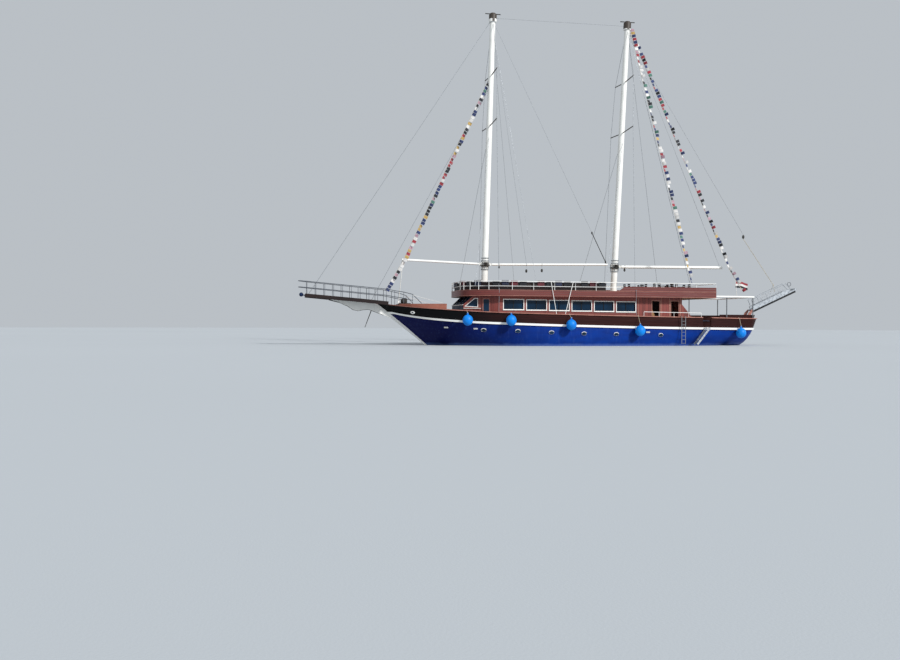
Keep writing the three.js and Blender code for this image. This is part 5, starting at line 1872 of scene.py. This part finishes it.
@dataclass
class Stern:
    """Fittings of the gangway, and the cushions of the stern bench.

    A place on the gangway is given by how far it is from the hinge, sideways, and up from the floor.
    """

    hinge: Triple = (-13.9, 0, 2.73)
    ahead: Triple = (-0.915, 0, 0.4035)
    lift: Triple = (-15.9, 0, 4.75)
    block: Triple = (-13.26, 0, 8.51)
    head: Triple = (-3.62, 0, 23.5)
    middle: Triple = (-10.6, 0, 3.2)
    seat_heights: Pair = (1.75, 2.05)
    seat_pitch: float = 0.86
    step: float = 0.02
    strip: tuple[Triple, Triple] = ((0.05, 0, -0.135), (4.1, 0, -0.135))
    treads: int = 24
    tread_pitch: float = 0.16
    ring: Triple = (3.95, 0, 0.55)
    bridle: Triple = (2.4, 0.28, 0.6)

    def build(self) -> None:
        """The bench's cushions, the gangway's own fittings, and the lift that holds it up."""
        self.bench()
        self.gangway()
        self.lift_line()

    def seat(self, turn: float) -> tuple[Vector, float]:
        """Middle and depth of the bench's seat in a direction from the middle of the after deck.

        Args:
            turn: The direction, as an angle from forward.

        Returns:
            The middle and the depth.
        """
        way = Vector((cos(turn), sin(turn), 0))
        starts = [Vector(self.middle) + way * (0.6 + k * self.step) for k in range(160)]
        hits = [skin("stern_bench").ray_cast(start, DOWN)[0] for start in starts]
        low, high = self.seat_heights
        found = [hit for hit in hits if hit is not None and low < hit.z < high]
        return (found[0] + found[-1]) / 2, (found[-1] - found[0]).length

    def bench(self) -> None:
        """Cushions round the stern bench, laid along the middle of its seat."""
        seats = [self.seat(radians(turn)) for turn in range(96, 265, 8)]
        deep = min(depth for _, depth in seats) - 0.03
        places = [standing(p, way) for p, way in spaced([middle for middle, _ in seats], self.seat_pitch)]
        LOG.info("stern bench: %d cushions, %.2f m deep", len(places), deep)
        one = Cushion(0.78, deep, 0.09)
        Cushions("stern_cushions", one, places, [CUSHION_CANVAS, CUSHION_CANVAS, BLACK_CANVAS]).build()

    def on_gangway(self, far: float, across: float, up: float) -> Vector:
        """A point on the gangway.

        Args:
            far: How far it is from the hinge.
            across: How far it is to the side.
            up: How far it is above the floor.

        Returns:
            The point.
        """
        ahead = Vector(self.ahead)
        over = Vector((ahead.z, 0, -ahead.x))
        return Vector(self.hinge) + ahead * far + Vector((0, across, 0)) + over * up

    def gangway(self) -> None:
        """The strip under it, slats on it, a hoop at its far end, and the bridle with its ring."""
        shape = Shape()
        shape.bar(*(self.on_gangway(*end) for end in self.strip), 0.52, 0.15, 0.015)
        shape.finish = 1
        for k in range(self.treads):
            far = 0.3 + k * self.tread_pitch
            shape.bar(*(self.on_gangway(far, y, 0.012) for y in (-0.23, 0.23)), 0.03, 0.02, 0.003)
        shape.finish = 2
        shape.hoop(tipped(self.on_gangway(*self.ring)), 0.15, 0.02)
        shape.finish = 3
        far, half, up = self.bridle
        for y in (-half, half):
            eye = self.on_gangway(far, y, up)
            shape.rod((eye, self.lift), 0.013, 6)
            shape.ball(eye, 0.03, rings=5)
        shape.ball(self.lift, 0.05, rings=6)
        finishes = [RUBBER, TEAK_DECK, RAIL_PAINT, ROPE]
        shape.done("gangway_fittings", finishes, "gangway", smooth=True)

    def lift_line(self) -> None:
        """The line from the mainmast to its block, and the fall from there to the gangway."""
        block, lift = Vector(self.block), Vector(self.lift)
        shape = Shape()
        pulley(shape, block, 0.3)
        shape.finish = 2
        shape.rod((self.head, block + UP * 0.16), 0.013, 6)
        shape.done("gangway_topping_lift", [TARRED_IRON, STAINLESS, WIRE_ROPE], smooth=True)
        fall = Shape()
        for y in (-0.03, 0.03):
            fall.line(block + Vector((0, y, -0.15)), lift + Vector((0, y, 0)), 0.012, 14)
        ropes = fall.done("gangway_fall", [ROPE], body=None, smooth=True)
        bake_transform(ropes)


@dataclass(frozen=True)
class Bunting:
    """A line with a flag every hand span, all blown aft."""

    name: str
    seed: int
    path: tuple[Triple, ...]
    pitch: float = 0.25
    hoist: float = 0.21
    fly: float = 0.29
    flutter: float = 0.02
    sewn: tuple[int, ...] = (0, 0, 1, 1, 1, 2, 2, 2, 3, 3, 4, 5, 6)

    def build(self) -> None:
        """The line and its flags."""
        cord = Shape()
        cord.rod(self.path, 0.008, 5)
        line = cord.done(f"{self.name}_line", [ROPE])
        chance = random.Random(self.seed)
        flags = Shape()
        places = spaced([Vector(p) for p in self.path], self.pitch)
        for place, way in places:
            self.hang(flags, place, way, chance)
        cloth = flags.done(f"{self.name}_flags", FLAG_CLOTHS, smooth=True)

    def hang(self, flags: Shape, place: Vector, way: Vector, chance: random.Random) -> None:
        """One flag, its hoist on the line and its fly blown aft with a flutter.

        Args:
            flags: The mesh that takes it.
            place: Where it hangs.
            way: The line's direction.
            chance: What draws its tilt and its colour.
        """
        blown = Vector((-1, chance.uniform(-0.9, 0.9), chance.uniform(-0.9, -0.1)))
        blown = (blown - way * blown.dot(way)).normalized()
        face = way.cross(blown)
        flags.finish = chance.choice(self.sewn)
        turn = Matrix((blown, way, face)).transposed().to_4x4()
        size = Matrix.Diagonal((self.fly / 2, self.hoist / 2, 1, 1))
        matrix = Matrix.Translation(place + blown * self.fly / 2) @ turn @ size
        made = bmesh.ops.create_grid(flags.mesh, x_segments=4, y_segments=1, size=1, matrix=matrix)["verts"]
        for vert in made:
            reach = (vert.co - place).dot(blown)
            vert.co += face * sin(reach / self.fly * 5) * self.flutter


@dataclass(frozen=True)
class Mast:
    """A mast: its foot, the lean of its axis, its top, and the places and radii of its hoops."""

    name: str
    foot: float
    base: float
    lean: float
    top: float
    hoops: tuple[Pair, ...] = ((5.6, 0.285), (5.85, 0.28), (6.25, 0.275), (6.45, 0.275))

    def at(self, z: float, x: float = 0.0, y: float = 0.0) -> Vector:
        """A point on the mast's axis at a height, or beside it."""
        return Vector((self.foot - (z - self.base) * self.lean + x, y, z))


@dataclass(frozen=True)
class Lift:
    """A line from a mast that holds a boom up, with the length of the tackle at its lower end."""

    start: Triple
    end: Triple
    boom: str
    tackle: float = 0.0


@dataclass
class Rigging:
    """Running rigging, mast bands, blocks, bottlescrews and the flag lines."""

    lines: tuple[tuple[Triple, Triple], ...] = (
        ((7.25, 0, 23.9), (4.6, 2.95, 4.3)),
        ((-3.2, 0, 16.3), (-0.6, 3.05, 4.3)),
        ((7.35, 0, 16.4), (9.1, 2.75, 4.3)),
    )
    screw: tuple[Pair, ...] = (
        (0.0, 0.0), (0.016, 0.01), (0.016, 0.08), (0.026, 0.1), (0.026, 0.26), (0.012, 0.3), (0.0, 0.31)
    )  # fmt: skip
    lifts: tuple[Lift, ...] = (
        Lift((7.35, 0, 19.3), (13.8, 0, 6.33), "fore_boom"),
        Lift((7.07, 0, 22.74), (4.53, 0, 6.12), "middle_boom"),
        Lift((7.1, 0, 23.9), (-1.82, 0, 6.2), "middle_boom", 2.6),
        Lift((-3.5, 0, 24.1), (-11.2, 0, 6.2), "main_boom"),
    )
    masts: tuple[Mast, ...] = (
        Mast("foremast", 7.78, 4.3, 0.029, 24.65),
        Mast("mainmast", -2.42, 4.5, 0.0505, 24.8),
    )
    shelf: float = 5.9
    pin_ring: float = 0.335
    pin: tuple[Pair, ...] = (
        (0.0, 0.0), (0.02, 0.01), (0.022, 0.24), (0.03, 0.3), (0.03, 0.42), (0.018, 0.5), (0.0, 0.52)
    )  # fmt: skip
    crossbar: float = 0.55
    boom_blocks: tuple[tuple[float, float, float, float], ...] = (
        (4.53, 5.98, 5.55, 0.26), (3.32, 5.98, 5.6, 0.26), (6.65, 5.95, 5.8, 0.2)
    )  # fmt: skip
    legs: tuple[Pair, ...] = ((3.63, 3.31), (1.97, 2.65))
    leg_top: Pair = (3.24, 4.6)
    strings: tuple[Bunting, ...] = (
        Bunting("fore_bunting", 3, ((7.52, 0, 19.7), (13.94, 0.12, 6.06), (15.18, 0.0, 4.0))),
        Bunting("main_bunting_port", 5, ((-3.62, 0.1, 24.2), (-7.21, 3.1, 4.9), (-7.26, 3.22, 4.62))),
        Bunting(
            "main_bunting_aft",
            8,
            ((-3.6, 0, 23.95), (-4.11, 0, 23.09), (-11.66, 0.6, 6.0), (-12.76, 0.95, 4.1)),
        ),
    )

    def build(self) -> None:
        """Wires, lifts, bands, blocks and bunting."""
        self.wires()
        for number, lift in enumerate(self.lifts, 1):
            self.topping_lift(number, lift)
        for mast in self.masts:
            self.bands(mast)
        self.blocks()
        for side in Side:
            self.white_legs(side)
        for string in self.strings:
            string.build()

    def wires(self) -> None:
        """Thin wires from the masts to the upper deck, each set up with a bottlescrew."""
        shape = Shape()
        for start, end in self.lines:
            for side in Side:
                foot = side.at(*end)
                shape.rod((start, foot), 0.011, 5)
                turn = (Vector(start) - foot).normalized().to_track_quat("Z", "Y").to_matrix().to_4x4()
                shape.lathe(Matrix.Translation(foot) @ turn, self.screw, 10)
        shape.done("running_rigging", [WIRE_ROPE], smooth=True)

    def topping_lift(self, number: int, lift: Lift) -> None:
        """A line from a mast down to a boom that swings, with a dark tackle below.

        Args:
            number: Its number.
            lift: Its places.
        """
        start, end = Vector(lift.start), Vector(lift.end)
        shape = Shape()
        shape.line(start, end, 0.011, 24)
        if lift.tackle:
            shape.finish = 1
            top = end.lerp(start, lift.tackle / (start - end).length)
            for side in Side:
                aside = side.at(0, 0.03, 0)
                shape.line(end + aside, top + aside, 0.018, 8)
            for place in (end + (top - end) * 0.06, top):
                shape.ball(place, (0.06, 0.045, 0.11))
        piece = shape.done(f"topping_lift_{number}", [WIRE_ROPE, TARRED_IRON], body=None, smooth=True)
        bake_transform(piece)

    def bands(self, mast: Mast) -> None:
        """Iron hoops where the booms hang, with lugs and belaying pins, and the cap with its crossbar.

        Args:
            mast: The mast.
        """
        shape = Shape()
        shape.finish = 1
        for z, r in mast.hoops:
            self.hoop(shape, mast.at(z), r, 0.05)
            for x, y in around(r, range(30, 360, 60)):
                shape.ball(mast.at(z, x, y), (0.03, 0.03, 0.045), rings=4)
        shape.finish = 0
        self.hoop(shape, mast.at(self.shelf), 0.37, 0.05, 0.1)
        for side in Side:
            for x, y in around(self.pin_ring, range(50, 131, 20)):
                foot = mast.at(self.shelf - 0.24) + side.at(x, y, 0)
                shape.lathe(Matrix.Translation(foot), self.pin, 8)
        shape.finish = 1
        for z in (mast.top - 0.68, mast.top - 0.2):
            self.hoop(shape, mast.at(z), 0.235, 0.06)
        for x in (-0.2, 0.2):
            top = mast.at(mast.top - 0.1, x)
            shape.rod((top + DOWN * 0.66, top), 0.02, 8)
        shape.finish = 0
        arms = [mast.at(mast.top - 0.06, x) for x in (self.crossbar, -self.crossbar)]
        shape.rod(arms, 0.035, 10)
        for end in reversed(arms):
            shape.ball(end, 0.04, rings=6)
        shape.done(f"{mast.name}_bands", [TARRED_IRON, WIRE_ROPE], smooth=True)

    def hoop(self, shape: Shape, middle: Vector, radius: float, tall: float, wall: float = 0.022) -> None:
        """One flat iron hoop round a mast."""
        section = oblong(radius - wall, -tall / 2, radius, tall / 2)
        shape.lathe(Matrix.Translation(middle), [*section, section[0]])

    def blocks(self) -> None:
        """Blocks that hang below the middle boom, each on its strop, and one below the main boom."""
        shape = Shape()
        for x, high, low, tall in self.boom_blocks:
            pulley(shape, Vector((x, 0, low)), tall)
            shape.finish = 1
            shape.rod(((x, 0, low + 0.12), (x, 0, high)), 0.008, 6)
            shape.hoop(tipped((x, 0, 6.03), "Y"), 0.096, 0.012)
        shape.done("boom_blocks", [TARRED_IRON, STAINLESS], "middle_boom", smooth=True)
        shape = Shape()
        pulley(shape, Vector((-3.3, 0, 5.74)), 0.24)
        shape.hoop(tipped((-3.3, 0, 5.975), "Y"), 0.125, 0.014)
        shape.done("main_boom_block", [TARRED_IRON, STAINLESS], "main_boom", smooth=True)

    def white_legs(self, side: Side) -> None:
        """White legs from the upper rail down to the cap rail, two a side.

        Args:
            side: The side of the boat.
        """
        shape = Shape()
        for top, foot in self.legs:
            low = cap_edge(foot, side) - side.at(0, 0.05, 0)
            high = side.at(top, *self.leg_top)
            shape.rod((high, low), 0.02, 8)
            shape.ball(low, (0.035, 0.035, 0.02), rings=5)
            shape.ball(high, 0.03, rings=5)
        shape.done(side.named("rope_legs"), [WHITE_ENAMEL], smooth=True)


@dataclass
class Ensign:
    """The flag at the stern: plain bands of cloth, streaming aft from its staff."""

    staff: Triple = (-12.61, 0, 4.98)
    fly: float = 1.05
    hoist: float = 0.5
    bands: tuple[Finish, ...] = (FLAG_CLOTHS[0], FLAG_CLOTHS[1], FLAG_CLOTHS[3])
    wave: float = 0.06
    lift: float = 0.05
    droop: float = 0.12

    def build(self) -> None:
        """Three bands on one waving sheet."""
        shape = Shape()
        left, _, top = self.staff
        size = Matrix.Diagonal((self.fly / 2, self.hoist / 2, 1, 1))
        matrix = tipped((left - self.fly / 2, 0, top - self.hoist / 2)) @ size
        made = bmesh.ops.create_grid(shape.mesh, x_segments=24, y_segments=9, size=1, matrix=matrix)["verts"]
        shape.settle()
        for face in shape.mesh.faces:
            band = int((top - face.calc_center_median().z) / self.hoist * len(self.bands))
            face.material_index = min(len(self.bands) - 1, max(0, band))
        for vert in made:
            reach = (left - vert.co.x) / self.fly
            vert.co.y += sin(reach * 8 + vert.co.z) * self.wave * reach
            vert.co.z += (sin(reach * 5) * self.lift - self.droop * reach) * reach
        ensign = shape.done("ensign", self.bands, smooth=True)


def main() -> None:
    """Dress the boat, from the hull up."""
    logging.basicConfig(level=logging.INFO, format="%(message)s")
    Studio().build()
    dress_nodes()
    round_off()
    HullFittings().build()
    Fenders().build()
    House().build()
    Saloon().build()
    UpperDeck().build()
    Bow().build()
    Stern().build()
    Rigging().build()
    Ensign().build()


if __name__ == "__main__":
    main()
